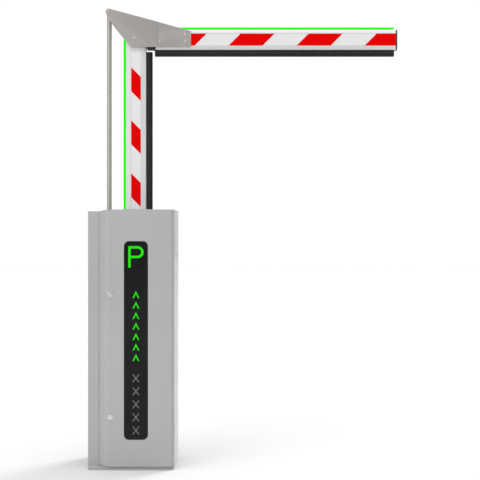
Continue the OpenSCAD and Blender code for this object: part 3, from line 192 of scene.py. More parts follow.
def powder_coat(slot, colour, roughness):
    """Satin powder coat: orange peel, faint clouding, edges lightened as a painted highlight with a little wear,
    and a darker, warmer tint in patches towards the ground.
    """
    # the tint near the ground: how high it reaches, its colour and how strongly it is mixed in
    low_tint_top, dull_tint, low_tint_share = 0.09, (0.33, 0.31, 0.28), 0.35
    made = Finish(slot, colour, roughness)
    made.patches(shade(colour, 0.93), size=0.35, detail=3.0, low=0.35, high=0.75)
    made.patches(shade(colour, 1.12), size=1.1 * MM, detail=1.0, low=0.58, high=0.8, share=0.5)
    # painted highlight: the edges lighter, as where they catch the light, with a little edge wear
    made.edge_wear_and_painted_light(shade(colour, 1.35), reach=1.2 * MM, share=0.25)
    # a darker, warmer tint in patches, strongest at the ground and gone at the given height
    low_down = made.between(made.height(), low=low_tint_top, high=0.0)
    low_patches = made.times(low_down, made.between(made.noise(size=0.02, detail=4.0), low=0.35, high=0.7))
    made.tint(dull_tint, made.times(low_patches, low_tint_share))
    made.uneven(size=0.05, detail=3.0, spread=0.05)
    made.grain(size=2.6 * MM, detail=1.5, height=0.035 * MM)
    return made


def film(slot, colour, roughness):
    """Retroreflective film: small prism cells under a glossy face, slightly soiled."""
    made = Finish(slot, colour, roughness, gloss=0.04)
    cells = made.cells(size=3.0 * MM)
    made.tint(shade(colour, 0.86), made.between(cells, low=0.10, high=0.02))
    made.patches(shade(colour, 0.95), size=0.12, detail=3.0, low=0.4, high=0.7)
    made.uneven(size=0.03, detail=4.0, spread=0.06)
    made.bump(made.between(cells, low=0.02, high=0.12), height=0.02 * MM)
    return made


def glowing(slot, colour, strength):
    """Lit diffuser with a faint grain."""
    made = Finish(slot, shade(colour, 0.15), 0.5, gloss=0.05)
    made.shader.inputs["Emission Color"].default_value = (*colour, 1)
    made.shader.inputs["Emission Strength"].default_value = strength
    made.patches(shade(colour, 0.10), size=4.0 * MM, detail=1.0, low=0.4, high=0.6)
    made.grain(size=1.5 * MM, detail=1.0, height=0.05 * MM)
    return made


def plastic(slot, colour, roughness):
    """Moulded plastic with a fine spark-eroded grain."""
    made = Finish(slot, colour, roughness)
    made.patches(shade(colour, 0.85), size=0.03, detail=3.0, low=0.4, high=0.7)
    # painted highlight: the edges lighter, as where they catch the light, with a little edge wear
    made.edge_wear_and_painted_light(shade(colour, 1.4), reach=0.6 * MM, share=0.3)
    made.uneven(size=0.01, detail=3.0, spread=0.06)
    made.grain(size=0.5 * MM, detail=1.0, height=0.02 * MM)
    return made


def moulded_rubber(slot, colour):
    """Matte rubber: bloom, dusty edges and a fine grain."""
    dull_tint = (0.09, 0.088, 0.085)
    made = Finish(slot, colour, 0.62, gloss=0.2)
    made.patches(shade(colour, 2.2), size=0.06, detail=5.0, low=0.5, high=0.8, share=0.6)
    made.edge_wear_and_painted_light(dull_tint, reach=1.5 * MM, share=0.35)
    made.uneven(size=0.02, detail=4.0, spread=0.08)
    made.grain(size=0.8 * MM, detail=2.0, height=0.03 * MM)
    return made


def machined(slot, colour, roughness, lines=(1, 1, 1)):
    """Bare or plated metal with tool lines and handling marks."""
    made = Finish(slot, colour, roughness, metallic=1.0)
    made.patches(shade(colour, 0.8), size=0.04, detail=4.0, low=0.4, high=0.7)
    # painted highlight: the edges lighter, as where they catch the light, with a little edge wear
    made.edge_wear_and_painted_light(shade(colour, 1.3), reach=0.7 * MM, share=0.5)
    made.uneven(size=6.0 * MM, detail=4.0, spread=0.09)
    made.grain(size=0.7 * MM, detail=2.0, height=0.012 * MM, stretch=lines)
    return made


def sand_cast(slot, colour, roughness=0.6):
    """Painted casting: grainy skin, worn to bare metal at its edges."""
    bare_metal = (0.4, 0.4, 0.4)
    made = Finish(slot, colour, roughness, metallic=0.2)
    made.patches(shade(colour, 0.75), size=0.02, detail=4.0, low=0.45, high=0.7)
    made.edge_wear_and_painted_light(bare_metal, reach=1.0 * MM, share=0.5)
    made.uneven(size=5.0 * MM, detail=4.0, spread=0.1)
    made.grain(size=1.6 * MM, detail=4.0, height=0.12 * MM)
    return made


def brushed_paint(slot, colour):
    """Warm grey metallic paint on folded plate: fine flake and a soft horizontal grain."""
    made = Finish(slot, colour, 0.42, metallic=0.2)
    made.shader.inputs["Coat Weight"].default_value = 1.0
    made.shader.inputs["Coat Roughness"].default_value = 0.12
    made.shader.inputs["Coat IOR"].default_value = 1.7
    made.patches(shade(colour, 0.93), size=0.2, detail=3.0, low=0.35, high=0.7)
    made.patches(shade(colour, 1.25), size=0.5 * MM, detail=0.0, low=0.62, high=0.75, share=0.6)
    # painted highlight: the edges lighter, as where they catch the light, with a little edge wear
    made.edge_wear_and_painted_light(shade(colour, 1.4), reach=1.0 * MM, share=0.45)
    made.uneven(size=0.03, detail=3.0, spread=0.06)
    made.grain(size=1.2 * MM, detail=2.0, height=0.012 * MM, stretch=(0.15, 1, 1))
    return made


def smoked_window(slot, colour):
    """Dark acrylic window with smears and a faint waviness."""
    made = Finish(slot, colour, 0.18, gloss=0.14)
    made.patches(shade(colour, 1.5), size=0.09, detail=4.0, low=0.5, high=0.8)
    made.uneven(size=0.05, detail=5.0, spread=0.08)
    made.grain(size=0.12, detail=2.0, height=0.01 * MM, stretch=(6, 6, 1))
    return made


def circuit(slot, colour):
    """Green solder mask with faint copper tracks under it."""
    made = Finish(slot, colour, 0.35)
    tracks = made.between(made.cells(size=5.0 * MM), low=0.06, high=0.03)
    made.tint(shade(colour, 2.2), made.times(tracks, 0.6))
    made.uneven(size=0.01, detail=2.0, spread=0.05)
    made.bump(tracks, height=0.03 * MM)
    return made


def extruded_paint(slot, colour):
    """White satin coat on an extrusion, with painted shade making it a little darker along its edges and in its
    corners.
    """
    made = Finish(slot, colour, 0.38)
    made.patches(shade(colour, 0.94), size=0.25, detail=3.0, low=0.4, high=0.75)
    # painted shade: darker along the edges and in the corners, where shade would fall
    made.edge_wear_and_painted_light(shade(colour, 0.8), reach=1.0 * MM, share=0.2)
    made.uneven(size=0.04, detail=4.0, spread=0.05)
    made.grain(size=1.0 * MM, detail=1.0, height=0.015 * MM)
    return made


def shared_finishes():
    """One material for each slot in the record."""
    made = [
        powder_coat("cabinet_paint", (0.385, 0.395, 0.392), 0.46),
        powder_coat("plinth", (0.340, 0.348, 0.348), 0.5),
        brushed_paint("elbow_metal", (0.385, 0.365, 0.350)),
        extruded_paint("boom_paint", (0.640, 0.642, 0.645)),
        film("red_film", (0.720, 0.0004, 0.0002), 0.34),
        glowing("lit_green", (0.022, 1.0, 0.006), 0.82),
        plastic("unlit_grey", (0.12, 0.13, 0.13), 0.4),
        smoked_window("sign_glass", (0.0075, 0.0075, 0.0078)),
        circuit("circuit_board", (0.02, 0.10, 0.04)),
        moulded_rubber("rubber", (0.012, 0.012, 0.012)),
        plastic("black_plastic", (0.03, 0.03, 0.03), 0.45),
        plastic("grey_plastic", (0.55, 0.56, 0.56), 0.45),
        plastic("white_plastic", (0.78, 0.78, 0.75), 0.4),
        plastic("green_plastic", (0.06, 0.22, 0.14), 0.45),
        plastic("red_plastic", (0.55, 0.02, 0.01), 0.35),
        machined("lock_chrome", (0.80, 0.79, 0.77), 0.22),
        machined("screws", (0.62, 0.61, 0.60), 0.3),
        machined("shaft_steel", (0.56, 0.57, 0.58), 0.3, (1, 8, 1)),
        machined("bearing_steel", (0.66, 0.67, 0.68), 0.2),
        machined("spring_steel", (0.16, 0.16, 0.17), 0.4),
        machined("zinc_plate", (0.60, 0.61, 0.60), 0.38),
        sand_cast("castings", (0.13, 0.14, 0.15)),
        sand_cast("motor_paint", (0.06, 0.09, 0.12), 0.45),
        machined("aluminium_plain", (0.70, 0.71, 0.71), 0.42, (1, 1, 0.1)),
        machined("bronze", (0.55, 0.36, 0.13), 0.35),
    ]
    return {finish.slot: finish.material for finish in made}


def white_film():
    """White segments of the reflective band, which share the red film's build."""
    return film("white_film", (0.735, 0.737, 0.740), 0.36).material


def symbol_green():
    """The sign's own light, dimmer than the booms' strips."""
    return glowing("symbol_green", (0.026, 1.0, 0.007), 0.66).material


FINISH = shared_finishes()
WHITE_FILM = white_film()
SYMBOL_GREEN = symbol_green()
SEAL_BLACK = moulded_rubber("seal_black", (0.004, 0.004, 0.004)).material


# ---- CAD pieces ----

# edge rounding in millimetres, where it isn't the usual one
ROUNDING = {
    "lit_symbols": 0.15, "unlit_symbols": 0.15, "lower_red_stripes": 0, "outer_red_stripes": 0,
    "door_panel": 0.4, "cabinet_shell": 0.4, "top_hood": 0.7, "base_plate": 1.0, "elbow_plates": 0.7,
    "clamp_plate": 0.8, "arm_hub": 1.0, "gearbox_housing": 1.2, "bearing_housing": 0.8,
    "lock_barrels": 0.45, "upper_lock_cam": 0.35, "lower_lock_cam": 0.35, "sign_window": 0.35,
    "balance_strap": 0, "worm_wheel": 0.2, "worm_rotor": 0.3, "stop_block": 1.0, "control_box": 0.8,
    "power_supply": 0.5, "hand_wheel": 0.8, "spring_quadrant": 0.6,
}
USUAL_ROUNDING = 0.4
LEAST_ROUNDING = 0.05
WELD_REACH = 0.004 * MM
FLAT_ANGLE = math.radians(0.2)


def dress_node(name):
    """Gives a CAD node its finish and rounds its edges."""
    piece = NODES[name]
    mesh = piece.data
    mesh.materials.clear()
    mesh.materials.append(FINISH[SLOT_OF[name]])
    if "custom_normal" in mesh.attributes:
        mesh.attributes.remove(mesh.attributes["custom_normal"])
    mesh.shade_smooth()
    weld = piece.modifiers.new("weld", "WELD")
    weld.merge_threshold = WELD_REACH
    flatten = piece.modifiers.new("flatten", "DECIMATE")
    flatten.decimate_type = "DISSOLVE"
    flatten.angle_limit = FLAT_ANGLE
    bevel = piece.modifiers.new("bevel", "BEVEL")
    bevel.width = max(ROUNDING.get(name, USUAL_ROUNDING), LEAST_ROUNDING) * MM
    bevel.segments = 2
    bevel.limit_method = "ANGLE"
    bevel.angle_limit = SMOOTH_ANGLE
    bevel.harden_normals = True
    bevel.miter_outer = "MITER_ARC"


def repaint(name, slot, inside):
    """Gives the faces of a CAD node whose middles pass the test another finish."""
    mesh = NODES[name].data
    mesh.materials.append(FINISH[slot])
    for face in mesh.polygons:
        if inside(face.center):
            face.material_index = len(mesh.materials) - 1


def islands(name):
    """Boxes (low, high) of the separate solids in a CAD node."""
    work = bmesh.new()
    work.from_mesh(NODES[name].data)
    bmesh.ops.remove_doubles(work, verts=work.verts, dist=0.01 * MM)
    seen, found = set(), []
    for start in work.verts:
        if start in seen:
            continue
        seen.add(start)
        queue, group = [start], []
        while queue:
            here = queue.pop()
            group.append(here.co.copy())
            for edge in here.link_edges:
                other = edge.other_vert(here)
                if other not in seen:
                    seen.add(other)
                    queue.append(other)
        low = Vector(min(p[i] for p in group) for i in range(3))
        high = Vector(max(p[i] for p in group) for i in range(3))
        found.append((low, high))
    work.free()
    return sorted(found, key=lambda box: tuple(round(c, 4) for c in (*box[0], *box[1])))


# ---- mesh building ----


def facing(origin, axis):
    """Matrix that takes +Z at the origin to an axis at a point."""
    return Matrix.Translation(origin) @ Vector(axis).to_track_quat("Z", "Y").to_matrix().to_4x4()


def hexagon(across, angle):
    """Radius of a hexagon of that width across its flats."""
    sixth = math.radians(60)
    return across / 2 / math.cos((angle + sixth / 2) % sixth - sixth / 2)


def add_turned(work, rings, origin, axis, segments=36, closed=False):
    """A turned solid. Each ring is (height, radius), and a radius may be a function of the angle."""
    matrix = facing(origin, axis)
    loops = []
    for height, radius in rings:
        if radius == 0:
            loops.append([work.verts.new(matrix @ Vector((0, 0, height)))])
            continue
        loop = []
        for i in range(segments):
            a = 2 * math.pi * i / segments
            r = radius(a) if callable(radius) else radius
            loop.append(work.verts.new(matrix @ Vector((r * math.cos(a), r * math.sin(a), height))))
        loops.append(loop)
    for a, b in zip(loops, loops[1:] + loops[:1] if closed else loops[1:]):
        for i in range(segments):
            k = (i + 1) % segments
            corners = [a[i % len(a)], a[k % len(a)], b[k % len(b)], b[i % len(b)]]
            unique = [v for j, v in enumerate(corners) if v not in corners[:j]]
            if len(unique) > 2:
                work.faces.new(unique)


def add_skin(work, loops, ring=False):
    """Faces between neighbouring loops of vertices, closed with two ends or joined into a ring."""
    for a, b in zip(loops, loops[1:] + loops[:1] if ring else loops[1:]):
        count = len(a)
        for i in range(count):
            k = (i + 1) % count
            work.faces.new((a[i], a[k], b[k], b[i]))
    if not ring:
        work.faces.new(loops[0])
        work.faces.new(loops[-1])


def add_tube(work, points, radius, sides=8):
    """A round bar along a line of points, with closed ends."""
    loops, side = [], None
    for i, here in enumerate(points):
        ahead, behind = points[min(i + 1, len(points) - 1)], points[max(i - 1, 0)]
        along = (ahead - behind).normalized()
        start = side if side is not None else (X if abs(along.x) < 0.9 else Z)
        side = (start - along * start.dot(along)).normalized()
        up = along.cross(side)
        loops.append([work.verts.new(here + radius * (math.cos(a) * side + math.sin(a) * up))
                      for a in (2 * math.pi * k / sides for k in range(sides))])
    add_skin(work, loops)


def add_extruded(work, outline, matrix, length):
    """A solid with a flat outline in X and Y, given length along Z, then moved by the matrix."""
    ends = [[work.verts.new(matrix @ Vector((x, y, z))) for x, y in outline] for z in (0, length)]
    add_skin(work, ends)


def make_piece(work, name, slot, body, replaced=(), rounding=0.0, material=None, blend=None):
    """Turns the built mesh into a piece that moves with a body; a piece given a blend stays in place, attached to
    no body.
    """
    bmesh.ops.recalc_face_normals(work, faces=work.faces)
    mesh = bpy.data.meshes.new(name)
    work.to_mesh(mesh)
    work.free()
    mesh.shade_smooth()
    mesh.materials.append(material or FINISH[slot])
    piece = bpy.data.objects.new(name, mesh)
    bpy.context.scene.collection.objects.link(piece)
    if rounding:
        bevel = piece.modifiers.new("bevel", "BEVEL")
        bevel.width = rounding * MM
        bevel.segments = 2
        bevel.angle_limit = SMOOTH_ANGLE
        bevel.harden_normals = True
    else:
        mesh.set_sharp_from_angle(angle=SMOOTH_ANGLE)
    if blend:
        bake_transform(piece)
    else:
        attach(piece, body)
    if replaced:
        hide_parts(*replaced)


# ---- fasteners ----


def add_button_screw(work, seat, axis, radius, height, socket):
    """A domed head with a hexagon socket, standing on its seat along the axis."""
    rim, mouth, floor, point = 0.18, 0.93, 0.35, 0.25  # shares of the height
    steps, sweep = 5, 0.92
    hole = socket / 2 * 1.25
    dome = [(0, radius * 0.97), (height * rim, radius)]
    for i in range(1, steps + 1):
        a = math.pi / 2 * i / steps * sweep
        dome.append((height * (rim + (1 - rim) * math.sin(a)), hole + (radius - hole) * math.cos(a)))

    def wall(angle):
        return hexagon(socket, angle)

    rings = [(0, 0), *dome, (height, hole), (height * mouth, wall), (height * floor, wall),
             (height * point, 0)]
    add_turned(work, rings, seat, axis)


def add_hex(work, seat, axis, across, height, bore=0.0, sunk=0.0):
    """A hexagon nut or bolt head with chamfered corners."""
    limit = across / 2 * 1.06  # the chamfer cuts the corners down to this radius
    bevel = across * 0.045
    flare = 1.12  # of the bore's mouths

    def full(angle):
        return hexagon(across, angle)

    def cut(angle):
        return min(full(angle), limit)

    rings = [(0, cut), (bevel, full), (height - bevel, full), (height, cut)]
    if bore:
        rings += [(height, bore * flare), (height - bevel, bore), (bevel, bore), (0, bore * flare)]
        add_turned(work, rings, seat, axis, closed=True)
    else:
        rings += [(height, limit * 0.86), (height - sunk, limit * 0.8), (height - sunk, 0)]
        add_turned(work, [(0, 0), *rings], seat, axis)


def add_washer(work, seat, axis, inner, outer, thick):
    chamfer = thick * 0.2
    rings = [(0, inner), (0, outer - chamfer), (chamfer, outer), (thick - chamfer, outer),
             (thick, outer - chamfer), (thick, inner)]
    add_turned(work, rings, seat, axis, closed=True)


def add_thread(work, start, axis, length, radius, pitch):
    """A threaded end, drawn as close rings."""
    crest, root, depth = 0.3, 0.8, 0.88  # places in the pitch, and the root's share of the radius
    rings = [(0, 0), (0, radius * 0.9)]
    turns = max(1, int(length / pitch))
    for i in range(turns):
        rings += [((i + crest) * pitch, radius), ((i + root) * pitch, radius * depth)]
    rings += [(length - radius * 0.1, radius * 0.86), (length, radius * 0.7), (length, 0)]
    add_turned(work, rings, start, axis, segments=20)


def middle(box):
    return (box[0] + box[1]) / 2


def elbow_fasteners():
    """Button screws through the outer boom, with nuts behind."""
    head_r, head_height, socket = 5.0 * MM, 2.0 * MM, 4.0 * MM
    nut_across, nut_height = 11.2 * MM, 4.0 * MM
    shank, pitch = 3.5 * MM, 0.7 * MM
    work = bmesh.new()
    for low, high in islands("elbow_screws"):
        centre = middle((low, high))
        front = Vector((centre.x, low.y + head_height, centre.z))
        rear = Vector((centre.x, high.y - nut_height, centre.z))
        add_button_screw(work, front, -Y, head_r, head_height, socket)
        length = rear.y - front.y
        add_turned(work, [(0, 0), (0, shank), (length, shank), (length, 0)], front, Y)
        add_hex(work, rear, Y, nut_across, nut_height * 0.9, shank)
        add_thread(work, rear, Y, nut_height, shank * 0.98, pitch)
    make_piece(work, "elbow_screw_set", "screws", "outer_arm", ["elbow_screws"])


def pin_fasteners():
    """Bright rivet ends in the painted heads of the elbow's two pins, front and back."""
    head_depth, small_pin = 2 * MM, 16 * MM
    small_r, large_r = 2.6 * MM, 3.3 * MM
    front, rear = (corner.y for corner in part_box("elbow_pins"))
    repaint("elbow_pins", "elbow_metal", lambda c: not front + head_depth < c.y < rear - head_depth)
    work = bmesh.new()
    for low, high in islands("elbow_pins"):
        centre = middle((low, high))
        radius = small_r if high.x - low.x < small_pin else large_r
        for y, outward in ((low.y, -Y), (high.y, Y)):
            seat = Vector((centre.x, y, centre.z))
            rings = [(0, 0), (0, radius), (0.3 * MM, radius), (0.8 * MM, radius * 0.6), (0.9 * MM, 0)]
            add_turned(work, rings, seat, outward, 24)
    make_piece(work, "pin_rivets", "screws", "outer_arm")


def hood_fasteners():
    """Pan heads on washers along the hood's seam."""
    head, head_r, socket, shank = 2.5 * MM, 4.6 * MM, 3.0 * MM, 2.4 * MM
    washer, washer_in, washer_out = 0.6 * MM, 2.6 * MM, 5.4 * MM
    work = bmesh.new()
    for low, high in islands("hood_screws"):
        centre = middle((low, high))
        outward = X if centre.x > 0 else -X
        tip = high.x if centre.x > 0 else low.x
        seat = Vector((tip, centre.y, centre.z)) - outward * head
        add_washer(work, seat, outward, washer_in, washer_out, washer)
        add_button_screw(work, seat + outward * washer, outward, head_r, head - washer, socket)
        length = (high.x - low.x) - head
        add_turned(work, [(0, 0), (0, shank), (length, shank), (length, 0)], seat, -outward, 20)
    make_piece(work, "hood_screw_set", "screws", "cabinet", ["hood_screws"])


def clamp_fasteners():
    """Hexagon bolts through the clamp, on washers."""
    shank, head, across = 5.0 * MM, 6.0 * MM, 14.7 * MM
    washer, washer_out = 1.2 * MM, 9.5 * MM
    chamfer, dish, through = 0.4 * MM, 0.5 * MM, 10 * MM
    hub_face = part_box("arm_hub")[1].y
    work = bmesh.new()
    for low, high in islands("clamp_bolts"):
        centre = middle((low, high))
        seat = Vector((centre.x, high.y - head, centre.z))
        add_washer(work, seat, Y, shank * 1.02, washer_out, washer)
        add_hex(work, seat + Y * washer, Y, across, head - washer, sunk=dish)
        length = seat.y - low.y
        rings = [(0, 0), (0, shank), (length - chamfer, shank), (length, shank * 0.85), (length, 0)]
        add_turned(work, rings, seat, -Y, 24)
        if low.y < hub_face - through:
            add_hex(work, Vector((centre.x, low.y, centre.z)), Y, across, head, shank)
    make_piece(work, "clamp_bolt_set", "screws", "arm", ["clamp_bolts"])


# ---- springs and strap ----


def balance_set():
    """Real coil springs and a steel strap, between the cabinet and the yoke."""
    wire, outside_r, pitch, per_turn = 2.1 * MM, 19.0 * MM, 4.9 * MM, 18
    coil = outside_r - wire
    loop, loop_wire, loop_inset = 6.5 * MM, 1.8 * MM, 2 * MM
    loop_steps, loop_start, loop_sweep = 16, 90, 330
    for side, (low, high) in zip(("left", "right"), islands("balance_springs")):
        centre = middle((low, high))
        bottom = low.z + loop_inset + loop + loop_wire
        top = high.z - loop_inset - loop - loop_wire
        work = bmesh.new()
        start, end = bottom + wire, top - wire
        turns = (end - start) / pitch
        count = int(turns * per_turn)
        coil_points = []
        for i in range(count + 1):
            a = 2 * math.pi * turns * i / count
            x, y = centre.x + coil * math.cos(a), centre.y + coil * math.sin(a)
            coil_points.append(Vector((x, y, start + (end - start) * i / count)))
        add_tube(work, coil_points, wire)
        for z, up, last in ((bottom, 1, coil_points[0]), (top, -1, coil_points[-1])):
            middle_z = z - up * loop_inset
            hook = [last, last + Vector((0, 0, -up * wire * 0.6))]
            hook.append(Vector((centre.x, centre.y, middle_z + up * loop * 1.1)))
            for i in range(loop_steps + 1):
                a = math.radians(loop_start + loop_sweep * i / loop_steps) * up
                y, loop_z = centre.y + loop * math.cos(a), middle_z + loop * math.sin(a)
                hook.append(Vector((centre.x, y, loop_z)))
            add_tube(work, hook, loop_wire, 10)
        make_piece(work, f"balance_spring_{side}", "spring_steel", None,
                   ["balance_springs"] if side == "left" else (),
                   blend=("cabinet", "yoke", (centre.x, centre.y, bottom), (centre.x, centre.y, top)))

    low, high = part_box("balance_strap")
    centre = middle((low, high))
    work = bmesh.new()
    steps = 24
    loops = []
    for i in range(steps + 1):
        z = low.z + (high.z - low.z) * i / steps
        loops.append([work.verts.new(c) for c in (
            (low.x, low.y, z), (high.x, low.y, z), (high.x, high.y, z), (low.x, high.y, z))])
    add_skin(work, loops)
    make_piece(work, "balance_band", "spring_steel", None, ["balance_strap"], rounding=0.3,
               blend=("cabinet", "yoke", (centre.x, centre.y, high.z), (centre.x, centre.y, low.z)))


def quadrant_band():
    """The steel lining of the quadrant's rim, on which the strap winds."""
    pivot = shaft_line()
    strap_low, strap_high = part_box("balance_strap")
    thick, steps, sweep = 1.2 * MM, 28, math.radians(92)
    inner = pivot.x - strap_high.x
    outer = inner + thick
    work = bmesh.new()
    loops = []
    for i in range(steps + 1):
        a = math.pi + sweep * i / steps
        c, s = math.cos(a), math.sin(a)
        loops.append([work.verts.new((pivot.x + r * c, y, pivot.z + r * s)) for r, y in (
            (inner, strap_low.y), (outer, strap_low.y), (outer, strap_high.y), (inner, strap_high.y))])
    add_skin(work, loops)
    make_piece(work, "quadrant_band", "spring_steel", "arm", rounding=0.25)


def shaft_line():
    """A point on the main shaft's axis, from its joint."""
    joint = next(j for j in frame["joints"] if j["name"] == "arm_swing")
    return Vector(joint["pos_m"])


# ---- booms ----


def white_band(boom, stripes, body, along, clip):
    """White segments of the reflective band between the red ones, on both faces of a boom.

    The boom runs along axis 0 or 2, and the band is cut off at the clip's two ends.
    """
    thick, gap, least = 0.25 * MM, 0.7 * MM, 4 * MM
    stripe_boxes = islands(stripes)
    lo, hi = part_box(stripes)
    across = 2 if along == 0 else 0
    band_low, band_high = lo[across], hi[across]
    # the stripes' slanted edges stand at 45 degrees, so each leans by the band's width
    lean = band_high - band_low
    work = bmesh.new()
    for face, inward in ((0, 1), (1, -1)):
        face_y = (lo, hi)[face].y
        here = [box for box in stripe_boxes if abs(box[face].y - face_y) < 0.1 * MM]
        rows = sorted((box[0][along], box[1][along]) for box in here)
        boom_face = here[0][1 - face].y
        y0, y1 = sorted((boom_face, boom_face - inward * thick))
        # profile X -> X, profile Y -> Z, length -> Y
        matrix = Matrix(((1, 0, 0, 0), (0, 0, 1, y0), (0, 1, 0, 0), (0, 0, 0, 1)))
        starts = [clip[0]] + [row[1] + gap for row in rows]
        ends = [row[0] - gap for row in rows] + [clip[1]]
        for k, (a, b) in enumerate(zip(starts, ends)):
            near_low = a - lean if k > 0 else a
            far_high = b + lean if k < len(rows) else b
            if max(b - near_low, far_high - a) < least:
                continue
            corners = [(near_low, band_low), (min(b, clip[1]), band_low),
                       (min(far_high, clip[1]), band_high), (a, band_high)]
            corners = [(max(u, clip[0]), v) for u, v in corners]
            if along == 2:
                # the lower boom stands up, so its light side is the left one
                corners = [(band_low + band_high - v, u) for u, v in corners]
            add_extruded(work, corners, matrix, y1 - y0)
    make_piece(work, boom + "_white_film", "boom_paint", body, material=WHITE_FILM)


def white_bands():
    """The band on the outer boom runs to its end. On the lower boom it stops short of the elbow."""
    past_plates, past_clamp, below_end = 0.5 * MM, 2 * MM, 77 * MM
    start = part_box("elbow_plates")[1].x + past_plates
    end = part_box("outer_boom")[1].x
    white_band("outer", "outer_red_stripes", "outer_arm", 0, (start, end))
    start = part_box("clamp_plate")[1].z + past_clamp
    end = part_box("lower_boom")[1].z - below_end
    white_band("lower", "lower_red_stripes", "arm", 2, (start, end))


def boom_strip(name, slot, body, box, outline, base, outward, replaced=(), rounding=0.0):
    """A profile run along the lower boom (up) or the outer boom (across), facing out from its base."""
    low, high = box
    middle_y = (low.y + high.y) / 2
    if body == "arm":
        # profile X -> Y, profile Y -> X, length -> Z
        rows, length = ((0, outward, 0, base), (1, 0, 0, middle_y), (0, 0, 1, low.z)), high.z - low.z
    else:
        # profile X -> Y, profile Y -> Z, length -> X
        rows, length = ((0, 0, 1, low.x), (1, 0, 0, middle_y), (0, outward, 0, base)), high.x - low.x
    work = bmesh.new()
    add_extruded(work, outline, Matrix((*rows, (0, 0, 0, 1))), length)
    make_piece(work, name, slot, body, replaced, rounding=rounding)


def rubber_outline(width, depth):
    """Half-round bumper profile with grooves along it. X is front to back, Y is out from the boom."""
    round_r, groove = 10.0 * MM, 0.6 * MM
    side_grooves, crown_grooves = (0.28, 0.40, 0.52), (-0.18, 0.0, 0.18)  # shares of depth and width
    points = [(-width / 2, 0)]
    for share in side_grooves:
        y = depth * share
        points += [(-width / 2, y - groove), (-width / 2 + groove, y), (-width / 2, y + groove)]
    points += [(-width / 2 + round_r * (1 - math.cos(a)), depth - round_r * (1 - math.sin(a)))
               for a in (math.radians(15 * i) for i in range(7))]
    for share in crown_grooves:
        c = width * share
        points += [(c - groove, depth), (c, depth - groove), (c + groove, depth)]
    mirrored = [(-x, y) for x, y in reversed(points)]
    kept = [p for p in mirrored if p[0] > width * crown_grooves[-1] + groove * 1.5]
    return points + kept


def rubber_bumpers():
    """Grooved rubber bumpers in place of the plain ones."""
    rounding = 0.25
    box = low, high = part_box("lower_rubber")
    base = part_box("lower_boom")[1].x
    outline = rubber_outline(high.y - low.y, high.x - base)
    replaced = ["lower_rubber"]
    boom_strip("lower_bumper", "rubber", "arm", box, outline, base, 1, replaced, rounding)

    box = low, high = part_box("outer_rubber")
    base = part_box("outer_boom")[0].z
    outline = rubber_outline(high.y - low.y, base - low.z)
    replaced = ["outer_rubber"]
    boom_strip("outer_bumper", "rubber", "outer_arm", box, outline, base, -1, replaced, rounding)


def cover_outline(width, depth):
    """Light-strip cover with a rounded crown. X is front to back, Y is out from the boom."""
    crown = 2.4 * MM
    side = [(width / 2 - crown * (1 - math.cos(a)), depth - crown * (1 - math.sin(a)))
            for a in (math.radians(15 * i) for i in range(7))]
    return [(width / 2, 0)] + side + [(-x, y) for x, y in reversed(side)] + [(-width / 2, 0)]


def light_covers():
    """Crowned diffusers clipped over the two light strips."""
    rise, lap = 3.0 * MM, 0.6 * MM
    box = low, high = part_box("lower_light_strip")
    outline = cover_outline(high.y - low.y, rise + lap)
    boom_strip("lower_light_cover", "lit_green", "arm", box, outline, low.x + lap, -1)

    box = low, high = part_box("outer_light_strip")
    outline = cover_outline(high.y - low.y, rise + lap)
    boom_strip("outer_light_cover", "lit_green", "outer_arm", box, outline, high.z - lap, 1)


# ---- sign ----


def sign_rim():
    """The thin dark seal round the sign window."""
    low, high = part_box("sign_window")
    lap, radius, width, thick = 8.4 * MM, 19.6 * MM, 2.2 * MM, 0.25 * MM
    corner_steps = 8
    x0, x1, z0, z1 = low.x + lap, high.x - lap, low.z + lap, high.z - lap
    proud = low.y - thick
    work = bmesh.new()
    loops = []
    for inset, y in ((0.0, low.y), (0.0, proud), (width, proud), (width, low.y)):
        loop = []
        r = radius - inset
        for cx, cz, start in ((x1 - radius, z1 - radius, 0), (x0 + radius, z1 - radius, 90),
                              (x0 + radius, z0 + radius, 180), (x1 - radius, z0 + radius, 270)):
            for i in range(corner_steps + 1):
                a = math.radians(start + 90 * i / corner_steps)
                loop.append(work.verts.new((cx + r * math.cos(a), y, cz + r * math.sin(a))))
        loops.append(loop)
    add_skin(work, loops, ring=True)
    make_piece(work, "sign_rim", "rubber", "door", material=SEAL_BLACK)


# ---- equipment ----


def terminal_screws():
    """Screw heads in the terminal blocks' wells."""
    inset, well = 8 * MM, 14 * MM
    rings = [(0, 0), (0, 2.2 * MM), (3 * MM, 2.2 * MM), (3.4 * MM, 1.9 * MM), (3.4 * MM, 0)]
    work = bmesh.new()
    for low, high in islands("terminal_blocks"):
        centre = middle((low, high))
        for z in (low.z + inset, high.z - inset):
            add_turned(work, rings, Vector((centre.x, low.y + well, z)), -Y, 20)
    make_piece(work, "terminal_screws", "screws", "cabinet")


def gearbox_details():
    """Cover screws on washers round the gearbox."""
    count, first, step, ring_r = 5, 100, 52, 49 * MM
    head_across, head_height, dish = 8 * MM, 4 * MM, 0.3 * MM
    washer, washer_in, washer_out = 0.8 * MM, 2 * MM, 5.4 * MM
    pivot = shaft_line()
    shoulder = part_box("gearbox_housing")[0].y + 14 * MM
    work = bmesh.new()
    for i in range(count):
        a = math.radians(first + step * i)
        seat = Vector((pivot.x + ring_r * math.cos(a), shoulder, pivot.z + ring_r * math.sin(a)))
        add_hex(work, seat, -Y, head_across, head_height, sunk=dish)
        add_washer(work, seat, -Y, washer_in, washer_out, washer)
    make_piece(work, "gearbox_cover_screws", "screws", "cabinet")


